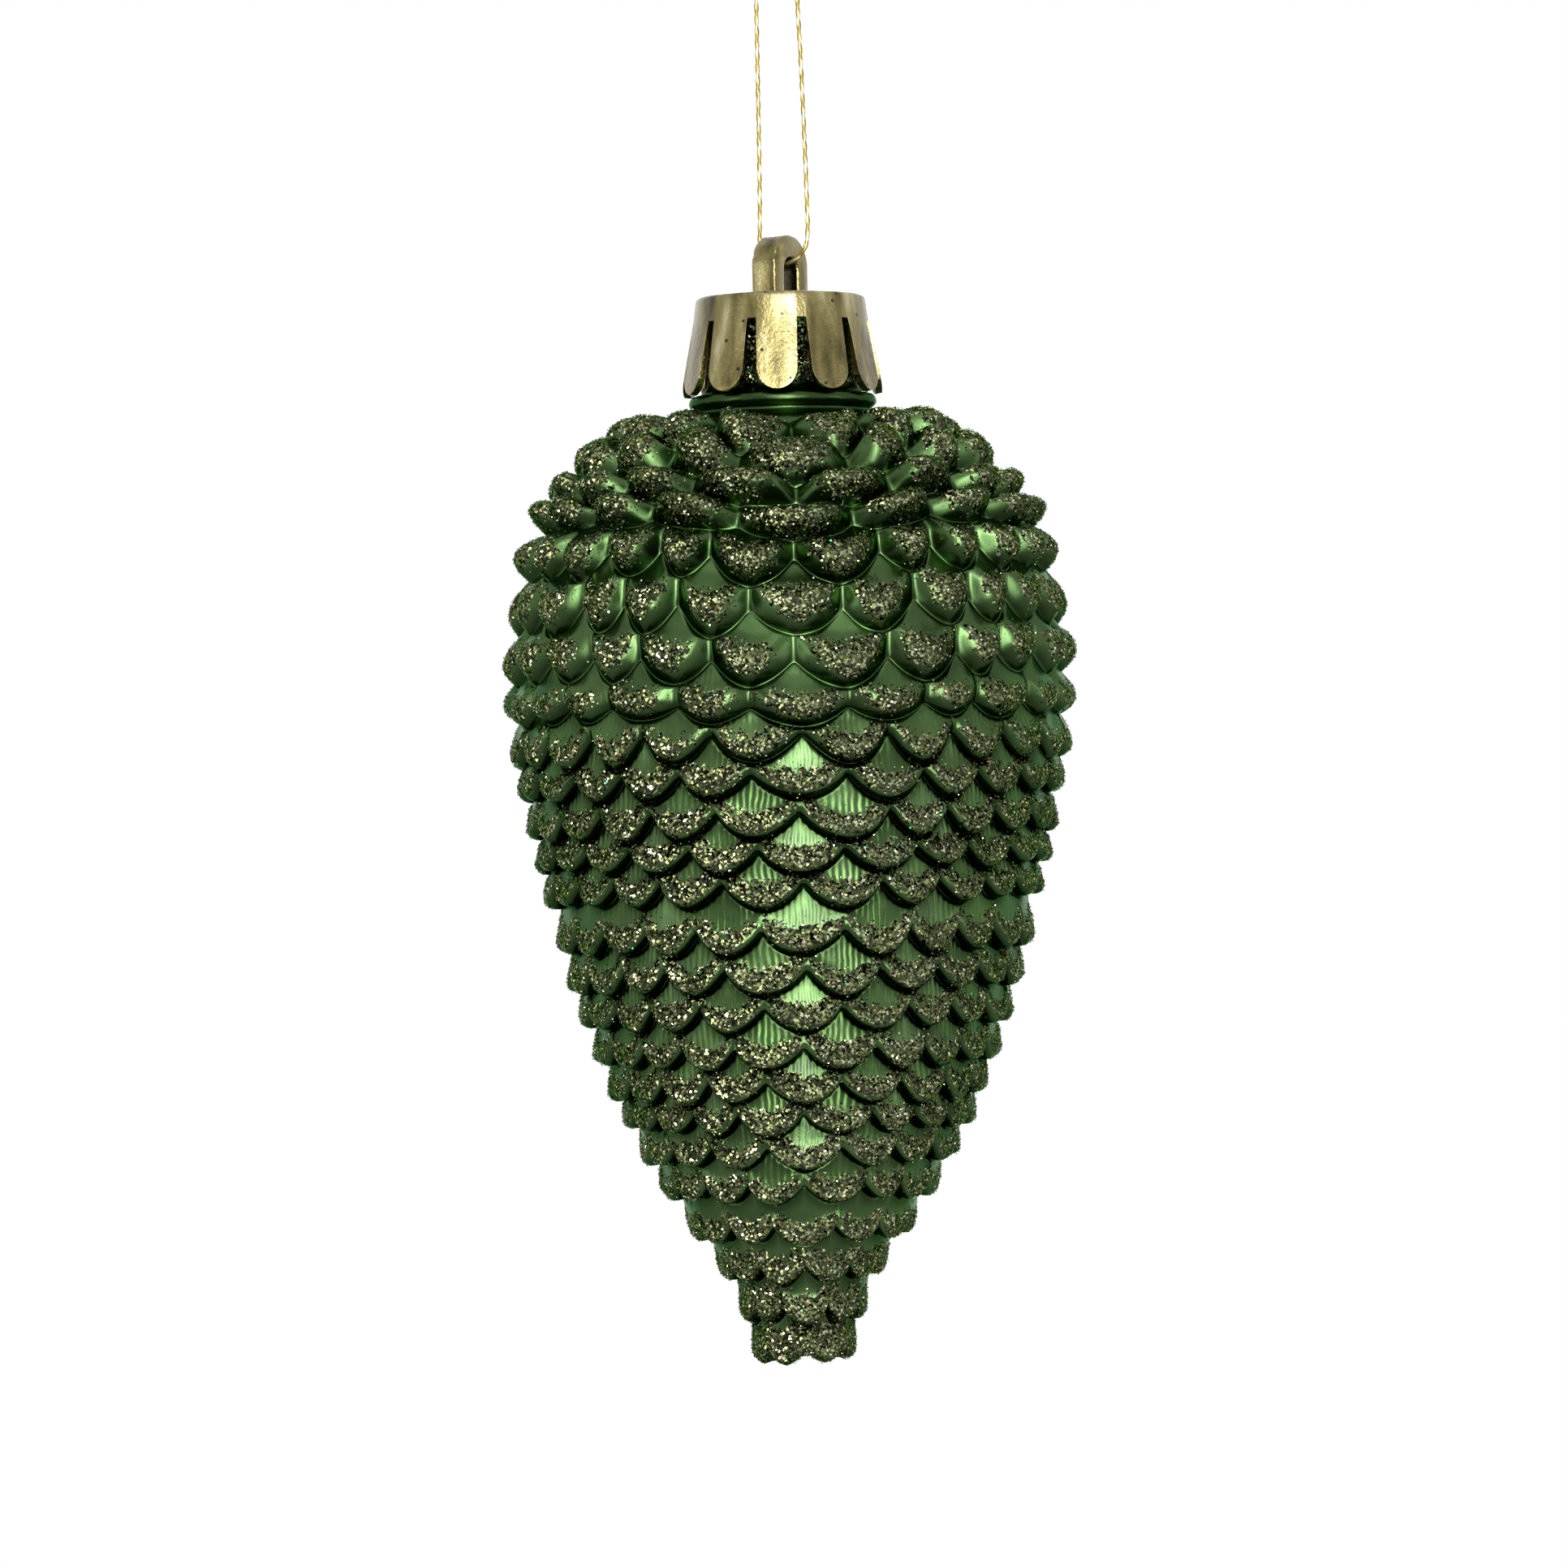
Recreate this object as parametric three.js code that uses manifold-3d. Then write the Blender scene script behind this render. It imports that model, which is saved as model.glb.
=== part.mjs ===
// Pine cone ornament: a hollow moulded cone body, a moulded crown cap plugged into its neck,
// and a thread loop that passes through the cap's eyelet. Millimetres, +Z up.
// The origin is the inside top of the thread loop, where a hook or twig carries the ornament.
// The side seen from -Y is the front. Bearings are in degrees from the front, positive towards +X.

import * as THREE from 'three';
import { mergeVertices } from 'three/addons/utils/BufferGeometryUtils.js';
import Module from 'manifold-3d';

const wasm = await Module();
wasm.setup();

// Clearance between one piece and the piece that it rests on or plugs into
const FIT_GAP = 0.3;

// Thread
const THREAD_DIAMETER = 0.5;
const THREAD_SIDES = 8;
const THREAD_STEPS = 80;
// Route of the loop in its own plane: [distance along the hole's axis, height below the origin].
// It starts under the knot, runs down, through the eyelet, up again and over the top to the knot.
const THREAD_ROUTE = [
  [-2.1, -9.8], [-2.12, -14], [-2.15, -22], [-2.18, -30], [-2.22, -38], [-2.3, -43],
  [-2.36, -45.6], [-2.12, -46.85], [-1.3, -47.72], [0, -48], [1.4, -47.86], [2.6, -47.2],
  [3.3, -46.1], [3.52, -44.6], [3.5, -41], [3.38, -35], [3.15, -27], [2.8, -18], [2.4, -9],
  [2.15, -3.6], [1.85, -1.3], [1.1, -0.1], [0, 0.25], [-1.1, -0.1], [-1.85, -1.3],
  [-2.08, -3], [-2.1, -6.2],
];

// Knot that joins the two ends of the thread, on the strand behind the eyelet
const KNOT_RADIUS = 0.85;
const KNOT_LENGTH = 2.6;
const KNOT_TAIL_LENGTH = 5;
const KNOT_TAIL_SPREAD = 1.6;
const KNOT_TAIL_RISE = 0.2;
const KNOT_TAIL_DROOP = 1.4;

// Crown cap
const CAP_RADIUS = 9.05;
const CAP_THICKNESS = 1.3;
const CAP_EDGE_ROUND = 0.5;
const CAP_SEGMENTS = 55;
const PETAL_COUNT = 11;
const PETAL_BEARING = -3;
const PETAL_WIDTH = 4.35;
const PETAL_THICKNESS = 0.75;
const PETAL_TIP_RADIUS = 10.85;
const SKIRT_LENGTH = 10.4;
const SLOT_START = 2.8;
const SLOT_START_RADIUS = 9.36;
const PLUG_LENGTH = 6;
const PLUG_WALL = 1;
const PLUG_SEGMENTS = 24;

// Eyelet moulded on the cap
const EYELET_BEARING = 150;
const EYELET_WIDTH = 7.1;
const EYELET_HEIGHT = 6.6;
const EYELET_SHOULDER = 3.3;
const EYELET_THICKNESS = 3.1;
const EYELET_BEVEL = 0.5;
const EYELET_HOLE_WIDTH = 2.9;
const EYELET_HOLE_HEIGHT = 4.1;
const EYELET_ROOT = 0.8;

// Neck and collar of the cone body: gaps to the cap's petals, then heights counted from the shoulder's top
const SKIRT_GAP = 0.5;
const COLLAR_GAP = 0.1;
const PETAL_END_GAP = 0.1;
const NECK_WALL = 1.2;
const GROOVE_SINK = 0.4;
const GROOVE_WIDTH = 0.5;
const GROOVE_DEPTH = 0.7;
const COLLAR_WIDTH = 1.3;
const COLLAR_TOP_ROUND = 0.5;
const COLLAR_FOOT_ROUND = 0.3;
const NECK_FLARE = 1.3;
const SHOULDER_STEP = 1;
const NECK_SEGMENTS = 36;

// Cone body, over the tips of its scales
const CONE_RADIUS = 30.85;
const CONE_LENGTH = 101.5;
// Its outline as shares of these two: [radius, height above the tip]
const CONE_OUTLINE = [
  [0.172, 0], [0.256, 0.079], [0.434, 0.158], [0.596, 0.246], [0.726, 0.34], [0.823, 0.438],
  [0.914, 0.552], [0.985, 0.65], [1, 0.719], [0.969, 0.803], [0.895, 0.872], [0.765, 0.929],
  [0.622, 0.97], [0.512, 0.992], [0.408, 1],
];
const SHELL_WALL = 0.8;
const INNER_SEGMENTS = 24;
const INNER_ROWS = 11;
const END_HOLLOW = 0.7;

// Rows of scales from the shoulder to the tip: [share of the cone's length, scales, half a pitch over]
const SCALE_ROWS = [
  [0.952, 14, true], [0.922, 15, false], [0.895, 16, true], [0.862, 17, false], [0.808, 25, true],
  [0.754, 25, false], [0.705, 24, true], [0.666, 24, false], [0.623, 24, true], [0.588, 24, false],
  [0.549, 24, true], [0.516, 24, false], [0.48, 24, true], [0.431, 24, false], [0.39, 22, true],
  [0.352, 22, false], [0.312, 22, true], [0.276, 20, false], [0.244, 20, true], [0.208, 17, false],
  [0.171, 17, true], [0.127, 14, false], [0.085, 12, true], [0.043, 10, false], [0, 8, true],
];
const SCALE_BEARING = 2;
// Scales are wider at the front and the back than at the sides
const WIDE_HALF_ANGLE = 22;
const WIDE_NARROWING = 0.28;
const WIDENING_STEPS = 720;
// Rows of pillows run higher at the sides; this dies out over the last few rows of them
const SIDE_RISE = 1.6;
const SIDE_RISE_ROWS = 4;
const SCALE_RELIEF = 2.3;
const PILLOW_ROWS = 8;
const PILLOW_RELIEF = 2.6;
// Near the tip the relief is no more than this share of the cone's radius
const RELIEF_LIMIT = 0.3;
const LIP_SLOPE = 0.25;
// Loops on a pillow's face and crest, as shares of the way from the row above to the pillow's lip
const PILLOW_FACE = 0.08;
const PILLOW_CREST = 0.5;
// How far a scale falls from its crest and from its middle to its sides, as shares of its relief
const PILLOW_FACE_FALL = 0.62;
const PILLOW_FACE_SIDE_FALL = 0.33;
const PILLOW_CREST_SIDE_FALL = 0.85;
const PILLOW_LIP_FALL = 0.35;
const PILLOW_LIP_SIDE_FALL = 0.6;
const SCALE_SIDE_FALL = 0.6;
const PILLOW_SIDE_EDGE = 2;
const SCALE_SIDE_EDGE = 0.4;
// Depth of a scale's lower arc, as a share of the scale's width, where its row leaves room for it
const SCALE_ARC = 0.47;

const GREEN = new THREE.MeshStandardMaterial({ color: 0x1d5528, roughness: 0.38, metalness: 0.55 });
const GOLD = new THREE.MeshStandardMaterial({ color: 0xcdbd86, roughness: 0.3, metalness: 0.95 });
const GOLD_THREAD = new THREE.MeshStandardMaterial({ color: 0xc9a637, roughness: 0.4, metalness: 0.8 });

// Sizes that follow from the ones above
const THREAD_RADIUS = THREAD_DIAMETER / 2;
const PIVOT_HEIGHT = Math.min(...THREAD_ROUTE.map(([, height]) => height));
const CAP_TOP = PIVOT_HEIGHT + THREAD_RADIUS + FIT_GAP - EYELET_HOLE_HEIGHT;
const GROOVE_HEIGHT = CONE_LENGTH - GROOVE_SINK;
const COLLAR_BOTTOM = GROOVE_HEIGHT + GROOVE_WIDTH;
const COLLAR_TOP = COLLAR_BOTTOM + COLLAR_WIDTH;
const NECK_FOOT_HEIGHT = COLLAR_TOP + NECK_FLARE;
const NECK_MOUTH_HEIGHT = COLLAR_TOP + PETAL_END_GAP + SKIRT_LENGTH - CAP_THICKNESS - FIT_GAP;
const CONE_TIP = CAP_TOP - CAP_THICKNESS - FIT_GAP - NECK_MOUTH_HEIGHT;
const NECK_RADIUS = CAP_RADIUS - PETAL_THICKNESS - SKIRT_GAP;
const NECK_BORE = NECK_RADIUS - NECK_WALL;
const PLUG_RADIUS = NECK_BORE - FIT_GAP;
const COLLAR_RADIUS = PETAL_TIP_RADIUS - PETAL_THICKNESS - COLLAR_GAP;
const HOLE_AXIS_BEARING = EYELET_BEARING - 90;

function directionAt(bearing) {
  const angle = THREE.MathUtils.degToRad(bearing);
  return new THREE.Vector3(Math.sin(angle), -Math.cos(angle), 0);
}

// A closed geometry as a solid for cutting and joining, and back again
function toSolid(geometry) {
  const bare = geometry.clone();
  bare.deleteAttribute('normal');
  bare.deleteAttribute('uv');
  const merged = mergeVertices(bare, 1e-4);
  const mesh = new wasm.Mesh({
    numProp: 3,
    vertProperties: new Float32Array(merged.attributes.position.array),
    triVerts: new Uint32Array(merged.index.array),
  });
  return new wasm.Manifold(mesh);
}

function toGeometry(solid) {
  const mesh = solid.getMesh();
  const geometry = new THREE.BufferGeometry();
  geometry.setAttribute('position', new THREE.BufferAttribute(mesh.vertProperties, 3));
  geometry.setIndex(new THREE.BufferAttribute(mesh.triVerts, 1));
  geometry.computeVertexNormals();
  return geometry;
}

function lathe(profile, segments, firstAngle = 0) {
  const points = profile.map(([radius, height]) => new THREE.Vector2(radius, height));
  const geometry = new THREE.LatheGeometry(points, segments);
  geometry.rotateX(Math.PI / 2);
  geometry.rotateZ(firstAngle);
  return geometry;
}

function roundSection(radius, sides) {
  const section = new THREE.Shape();
  for (let side = 0; side < sides; side += 1) {
    const angle = (2 * Math.PI * side) / sides;
    const x = radius * Math.cos(angle);
    const y = radius * Math.sin(angle);
    if (side === 0) section.moveTo(x, y);
    else section.lineTo(x, y);
  }
  section.closePath();
  return section;
}

function tube(points, radius, sides, steps) {
  const path = new THREE.CatmullRomCurve3(points, false, 'centripetal');
  return new THREE.ExtrudeGeometry(roundSection(radius, sides), { extrudePath: path, steps });
}

// Thread and knot
function loopPoint(along, height) {
  return directionAt(HOLE_AXIS_BEARING).multiplyScalar(along).setZ(height);
}

function makeThread() {
  const points = THREAD_ROUTE.map(([along, height]) => loopPoint(along, height));
  return tube(points, THREAD_RADIUS, THREAD_SIDES, THREAD_STEPS);
}

function makeKnot() {
  const [startAlong, startHeight] = THREAD_ROUTE[0];
  const [endAlong, endHeight] = THREAD_ROUTE[THREAD_ROUTE.length - 1];
  const middle = loopPoint((startAlong + endAlong) / 2, (startHeight + endHeight) / 2);
  const half = KNOT_LENGTH / 2;
  const knot = lathe([
    [0, -half], [KNOT_RADIUS * 0.6, -half * 0.9], [KNOT_RADIUS, -half * 0.45],
    [KNOT_RADIUS * 0.85, 0], [KNOT_RADIUS, half * 0.45], [KNOT_RADIUS * 0.6, half * 0.9], [0, half],
  ], 12);
  let solid = toSolid(knot);
  for (const side of [-1, 1]) {
    const tail = tube([
      new THREE.Vector3(0, 0, 0),
      new THREE.Vector3(-KNOT_TAIL_LENGTH * 0.3, side * KNOT_TAIL_SPREAD * 0.3, KNOT_TAIL_RISE),
      new THREE.Vector3(-KNOT_TAIL_LENGTH * 0.7, side * KNOT_TAIL_SPREAD * 0.7, -KNOT_TAIL_DROOP * 0.3),
      new THREE.Vector3(-KNOT_TAIL_LENGTH, side * KNOT_TAIL_SPREAD, -KNOT_TAIL_DROOP),
    ], THREAD_RADIUS, 6, 4);
    solid = solid.add(toSolid(tail));
  }
  const geometry = toGeometry(solid);
  geometry.rotateZ(THREE.MathUtils.degToRad(HOLE_AXIS_BEARING - 90));
  geometry.translate(middle.x, middle.y, middle.z);
  return geometry;
}

// Crown cap, with its top face at height 0
function skirtRadius(depth) {
  const share = (depth - SLOT_START) / (SKIRT_LENGTH - SLOT_START);
  return THREE.MathUtils.lerp(SLOT_START_RADIUS, PETAL_TIP_RADIUS, share);
}

function makeSkirt() {
  const edge = CAP_EDGE_ROUND;
  const outer = [
    [0, 0], [CAP_RADIUS - edge, 0], [CAP_RADIUS - edge * 0.3, -edge * 0.3], [CAP_RADIUS, -edge],
    [SLOT_START_RADIUS, -SLOT_START], [PETAL_TIP_RADIUS, -SKIRT_LENGTH],
  ];
  const inner = [
    [PETAL_TIP_RADIUS - PETAL_THICKNESS, -SKIRT_LENGTH],
    [SLOT_START_RADIUS - PETAL_THICKNESS, -SLOT_START],
    [CAP_RADIUS - PETAL_THICKNESS, -CAP_THICKNESS],
    [0, -CAP_THICKNESS],
  ];
  return toSolid(lathe([...outer, ...inner].reverse(), CAP_SEGMENTS));
}

// The outline of one slot: square at its upper end, flared by the round ends of its two petals
function makeSlotCutter(bearing) {
  const endRadius = PETAL_WIDTH / 2;
  const roundStart = SKIRT_LENGTH - endRadius;
  const halfPitch = (depth) => (Math.PI * skirtRadius(depth)) / PETAL_COUNT;
  const side = [[halfPitch(SLOT_START) - endRadius, SLOT_START]];
  const arcSteps = 5;
  for (let step = 0; step <= arcSteps; step += 1) {
    const angle = (Math.PI / 2) * (step / arcSteps);
    const depth = roundStart + endRadius * Math.sin(angle);
    side.push([halfPitch(depth) - endRadius * Math.cos(angle), depth]);
  }
  side.push([halfPitch(SKIRT_LENGTH) + FIT_GAP, SKIRT_LENGTH + FIT_GAP]);
  const shape = new THREE.Shape();
  shape.setFromPoints([
    ...side.map(([across, depth]) => new THREE.Vector2(across, -depth)),
    ...[...side].reverse().map(([across, depth]) => new THREE.Vector2(-across, -depth)),
  ]);
  const reach = PETAL_TIP_RADIUS * 1.4;
  const cutter = new THREE.ExtrudeGeometry(shape, { depth: reach, bevelEnabled: false });
  cutter.rotateX(Math.PI / 2);
  cutter.rotateZ(THREE.MathUtils.degToRad(bearing));
  return toSolid(cutter);
}

function makePlug() {
  const top = -CAP_THICKNESS / 2;
  const bottom = -CAP_THICKNESS - PLUG_LENGTH;
  const inside = PLUG_RADIUS - PLUG_WALL;
  return toSolid(lathe([
    [PLUG_RADIUS, bottom], [PLUG_RADIUS, top], [inside, top], [inside, bottom], [PLUG_RADIUS, bottom],
  ], PLUG_SEGMENTS));
}

function makeEyelet() {
  const half = EYELET_WIDTH / 2;
  const arch = new THREE.Shape();
  arch.moveTo(half, -EYELET_ROOT);
  arch.lineTo(half, EYELET_SHOULDER);
  arch.absellipse(0, EYELET_SHOULDER, half, EYELET_HEIGHT - EYELET_SHOULDER, 0, Math.PI, false, 0);
  arch.lineTo(-half, -EYELET_ROOT);
  const holeHalf = EYELET_HOLE_WIDTH / 2;
  const hole = new THREE.Path();
  hole.moveTo(holeHalf, EYELET_BEVEL);
  hole.lineTo(holeHalf, EYELET_HOLE_HEIGHT - holeHalf);
  hole.absarc(0, EYELET_HOLE_HEIGHT - holeHalf, holeHalf, 0, Math.PI, false);
  hole.lineTo(-holeHalf, EYELET_BEVEL);
  arch.holes.push(hole);
  const plate = new THREE.ExtrudeGeometry(arch, {
    depth: EYELET_THICKNESS - 2 * EYELET_BEVEL,
    bevelThickness: EYELET_BEVEL,
    bevelSize: EYELET_BEVEL,
    bevelOffset: -EYELET_BEVEL,
    bevelSegments: 1,
    curveSegments: 8,
  });
  plate.translate(0, 0, EYELET_BEVEL - EYELET_THICKNESS / 2);
  plate.rotateX(Math.PI / 2);
  // The hole goes down to the cap's face, so the sill under it is cut away
  const sillHeight = 2 * EYELET_BEVEL + EYELET_ROOT / 2;
  const sill = new THREE.BoxGeometry(EYELET_HOLE_WIDTH, EYELET_THICKNESS * 1.2, sillHeight);
  sill.translate(0, 0, sillHeight / 2 - EYELET_ROOT / 2);
  const turn = THREE.MathUtils.degToRad(EYELET_BEARING - 90);
  plate.rotateZ(turn);
  sill.rotateZ(turn);
  return toSolid(plate).subtract(toSolid(sill));
}

function makeCap() {
  let cap = makeSkirt();
  for (let slot = 0; slot < PETAL_COUNT; slot += 1) {
    cap = cap.subtract(makeSlotCutter(PETAL_BEARING + ((slot + 0.5) * 360) / PETAL_COUNT));
  }
  cap = cap.add(makePlug());
  cap = cap.add(makeEyelet());
  return toGeometry(cap);
}

// A closed skin built from loops of points round the axis, each stitched to the one before
class Skin {
  constructor() {
    this.points = [];
    this.faces = [];
    this.loop = null;
  }

  addLoop(points) {
    const turn = 2 * Math.PI;
    const loop = points.map((point) => ({
      point,
      angle: (Math.atan2(point.y, point.x) + turn) % turn,
    }));
    loop.sort((a, b) => a.angle - b.angle);
    for (const entry of loop) {
      entry.index = this.points.length;
      this.points.push(entry.point);
    }
    if (this.loop) this.stitch(this.loop, loop);
    this.loop = loop;
  }

  // Close onto a single point on the axis; the skin starts and ends with one
  addPole(height) {
    const pole = { index: this.points.length };
    this.points.push(new THREE.Vector3(0, 0, height));
    if (!this.loop) {
      this.loop = [pole];
      return;
    }
    this.loop.forEach((entry, i) => {
      this.faces.push(entry.index, pole.index, this.loop[(i + 1) % this.loop.length].index);
    });
  }

  stitch(upper, lower) {
    if (upper.length === 1) {
      lower.forEach((entry, i) => {
        this.faces.push(upper[0].index, entry.index, lower[(i + 1) % lower.length].index);
      });
      return;
    }
    const turn = 2 * Math.PI;
    const angleOf = (loop, i) => loop[i % loop.length].angle + turn * Math.floor(i / loop.length);
    let i = 0;
    let j = 0;
    while (i < upper.length || j < lower.length) {
      const nextUpper = angleOf(upper, i + 1);
      const nextLower = angleOf(lower, j + 1);
      const a = upper[i % upper.length].index;
      const b = lower[j % lower.length].index;
      if (j >= lower.length || (i < upper.length && nextUpper <= nextLower + 1e-9)) {
        this.faces.push(a, b, upper[(i + 1) % upper.length].index);
        i += 1;
      } else {
        this.faces.push(a, b, lower[(j + 1) % lower.length].index);
        j += 1;
      }
    }
  }

  toGeometry() {
    const geometry = new THREE.BufferGeometry();
    geometry.setFromPoints(this.points);
    geometry.setIndex(this.faces);
    geometry.computeVertexNormals();
    return geometry;
  }
}

function circle(radius, height, segments) {
  const points = [];
  for (let i = 0; i < segments; i += 1) {
    const angle = (2 * Math.PI * i) / segments;
    points.push(new THREE.Vector3(radius * Math.cos(angle), radius * Math.sin(angle), height));
  }
  return points;
}

// The cone's outline, read by the distance along it from the tip
const outline = new THREE.SplineCurve(
  CONE_OUTLINE.map(([radius, height]) => new THREE.Vector2(radius * CONE_RADIUS, height * CONE_LENGTH)),
);
const outlineLength = outline.getLength();

function outlineDistance(height) {
  let low = 0;
  let high = 1;
  for (let i = 0; i < 30; i += 1) {
    const middle = (low + high) / 2;
    if (outline.getPointAt(middle).y < height) low = middle;
    else high = middle;
  }
  return low * outlineLength;
}

// A point at a bearing and a distance along the outline, raised from it along its normal
function skinPoint(bearing, distance, rise) {
  const share = THREE.MathUtils.clamp(distance / outlineLength, 0, 1);
  const point = outline.getPointAt(share);
  const tangent = outline.getTangentAt(share);
  const radius = point.x + tangent.y * rise;
  return directionAt(bearing).multiplyScalar(radius).setZ(point.y - tangent.x * rise);
}

// How much a place belongs to the wide front or back, from 0 to 1, by degrees from the front's middle
function wideAt(turned) {
  const away = (turned + 360) % 360;
  const fromFront = Math.min(away, 360 - away) / WIDE_HALF_ANGLE;
  const fromBack = Math.abs(away - 180) / WIDE_HALF_ANGLE;
  return Math.exp(-(fromFront ** 4)) + Math.exp(-(fromBack ** 4));
}

// Running share of the way round, counted in scales, at equal steps of bearing from the front's middle
function makeSharesRound() {
  const shares = [0];
  for (let step = 0; step < WIDENING_STEPS; step += 1) {
    const wide = wideAt(((step + 0.5) * 360) / WIDENING_STEPS);
    shares.push(shares[step] + 1 - WIDE_NARROWING * wide);
  }
  return shares.map((share) => share / shares[WIDENING_STEPS]);
}

const sharesRound = makeSharesRound();

function scaleBearingAt(share) {
  const within = share - Math.floor(share);
  const step = sharesRound.findIndex((reached) => reached > within) - 1;
  const part = (within - sharesRound[step]) / (sharesRound[step + 1] - sharesRound[step]);
  return SCALE_BEARING + ((step + part) * 360) / WIDENING_STEPS;
}

// Adds one row of scales; aboveAt gives the level of the row above at a bearing, and so does the result
function makeScaleRow(skin, row, aboveAt) {
  const [tipShare, count, halfOver] = SCALE_ROWS[row];
  const isLast = row === SCALE_ROWS.length - 1;
  const isPillow = row < PILLOW_ROWS;
  const sideEdge = isPillow ? PILLOW_SIDE_EDGE : SCALE_SIDE_EDGE;
  const tip = outlineDistance(tipShare * CONE_LENGTH);
  const radius = outline.getPointAt(tip / outlineLength).x;
  const relief = Math.min(isPillow ? PILLOW_RELIEF : SCALE_RELIEF, RELIEF_LIMIT * radius);
  const room = aboveAt(SCALE_BEARING) - tip - sideEdge;
  const arcDepth = Math.min(room, (SCALE_ARC * 2 * Math.PI * radius) / count);
  const sideRise = SIDE_RISE * THREE.MathUtils.clamp((PILLOW_ROWS - row) / SIDE_RISE_ROWS, 0, 1);
  const tipAt = (bearing) => tip + sideRise * (1 - wideAt(bearing - SCALE_BEARING));
  const lipAt = (bearing, across) => tipAt(bearing) + arcDepth * across ** 2;
  // Four places on each scale: its tip, a quarter over, the corner shared with its neighbour
  const places = [0, 0.25, 0.5, 0.75].map((over) => ({
    over,
    across: over > 0.5 ? 2 * (1 - over) : 2 * over,
  }));
  const around = (pointAt) => {
    const points = [];
    for (let scale = 0; scale < count; scale += 1) {
      for (const { over, across } of places) {
        const bearing = scaleBearingAt((scale + over + (halfOver ? 0.5 : 0)) / count);
        points.push(pointAt(bearing, across));
      }
    }
    return points;
  };
  const addLoop = (share, fall, sideFall) => {
    skin.addLoop(around((bearing, across) => {
      const distance = THREE.MathUtils.lerp(aboveAt(bearing), lipAt(bearing, across), share);
      return skinPoint(bearing, distance, -relief * (fall + sideFall * across ** 2));
    }));
  };
  if (isPillow) {
    addLoop(PILLOW_FACE, PILLOW_FACE_FALL, PILLOW_FACE_SIDE_FALL);
    addLoop(PILLOW_CREST, 0, PILLOW_CREST_SIDE_FALL);
    addLoop(1, PILLOW_LIP_FALL, PILLOW_LIP_SIDE_FALL);
  } else {
    addLoop(1, 0, SCALE_SIDE_FALL);
  }
  if (!isLast) {
    skin.addLoop(around((bearing, across) => (
      skinPoint(bearing, lipAt(bearing, across) - LIP_SLOPE, -relief)
    )));
  }
  return (bearing) => tipAt(bearing) - LIP_SLOPE;
}

function makeCone() {
  const skin = new Skin();
  const innerAt = (share) => {
    const depth = THREE.MathUtils.lerp(SCALE_RELIEF, PILLOW_RELIEF, share) + SHELL_WALL;
    const point = outline.getPointAt(share);
    const tangent = outline.getTangentAt(share);
    return [point.x - tangent.y * depth, point.y + tangent.x * depth];
  };
  // Hollow, from its lowest point up to the neck's mouth
  const innerStart = (2 * (SCALE_RELIEF + SHELL_WALL)) / outlineLength;
  const innerEnd = 1 - (2 * (PILLOW_RELIEF + SHELL_WALL)) / outlineLength;
  const [, firstHeight] = innerAt(innerStart);
  skin.addPole(firstHeight - SHELL_WALL / 2);
  for (let row = 0; row <= INNER_ROWS; row += 1) {
    const [radius, height] = innerAt(THREE.MathUtils.lerp(innerStart, innerEnd, row / INNER_ROWS));
    skin.addLoop(circle(radius, height, INNER_SEGMENTS));
  }
  skin.addLoop(circle(NECK_BORE, GROOVE_HEIGHT - SHELL_WALL, NECK_SEGMENTS));
  skin.addLoop(circle(NECK_BORE, NECK_MOUTH_HEIGHT, NECK_SEGMENTS));
  // Neck, collar and groove, from the mouth down to the shoulder
  const collarMiddle = (COLLAR_TOP + COLLAR_BOTTOM) / 2;
  skin.addLoop(circle(NECK_RADIUS, NECK_MOUTH_HEIGHT, NECK_SEGMENTS));
  skin.addLoop(circle(NECK_RADIUS, NECK_FOOT_HEIGHT, NECK_SEGMENTS));
  skin.addLoop(circle(COLLAR_RADIUS - COLLAR_TOP_ROUND, COLLAR_TOP, NECK_SEGMENTS));
  skin.addLoop(circle(COLLAR_RADIUS, collarMiddle, NECK_SEGMENTS));
  skin.addLoop(circle(COLLAR_RADIUS - COLLAR_FOOT_ROUND, COLLAR_BOTTOM, NECK_SEGMENTS));
  skin.addLoop(circle(COLLAR_RADIUS - GROOVE_DEPTH, GROOVE_HEIGHT, NECK_SEGMENTS));
  skin.addLoop(circle(COLLAR_RADIUS + SHOULDER_STEP, GROOVE_HEIGHT - SHOULDER_STEP, NECK_SEGMENTS));
  let aboveAt = () => outlineLength - LIP_SLOPE;
  for (let row = 0; row < SCALE_ROWS.length; row += 1) {
    aboveAt = makeScaleRow(skin, row, aboveAt);
  }
  skin.addPole(END_HOLLOW);
  return skin.toGeometry();
}

function piece(name, geometry, material, height = 0) {
  const mesh = new THREE.Mesh(geometry, material);
  mesh.name = name;
  mesh.position.z = height;
  return mesh;
}

const ornament = new THREE.Group();
ornament.add(piece('hanging_thread', makeThread(), GOLD_THREAD));
ornament.add(piece('thread_knot', makeKnot(), GOLD_THREAD));
ornament.add(piece('crown_cap', makeCap(), GOLD, CAP_TOP));
ornament.add(piece('cone_shell', makeCone(), GREEN, CONE_TIP));

export default ornament;
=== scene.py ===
import math

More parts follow.
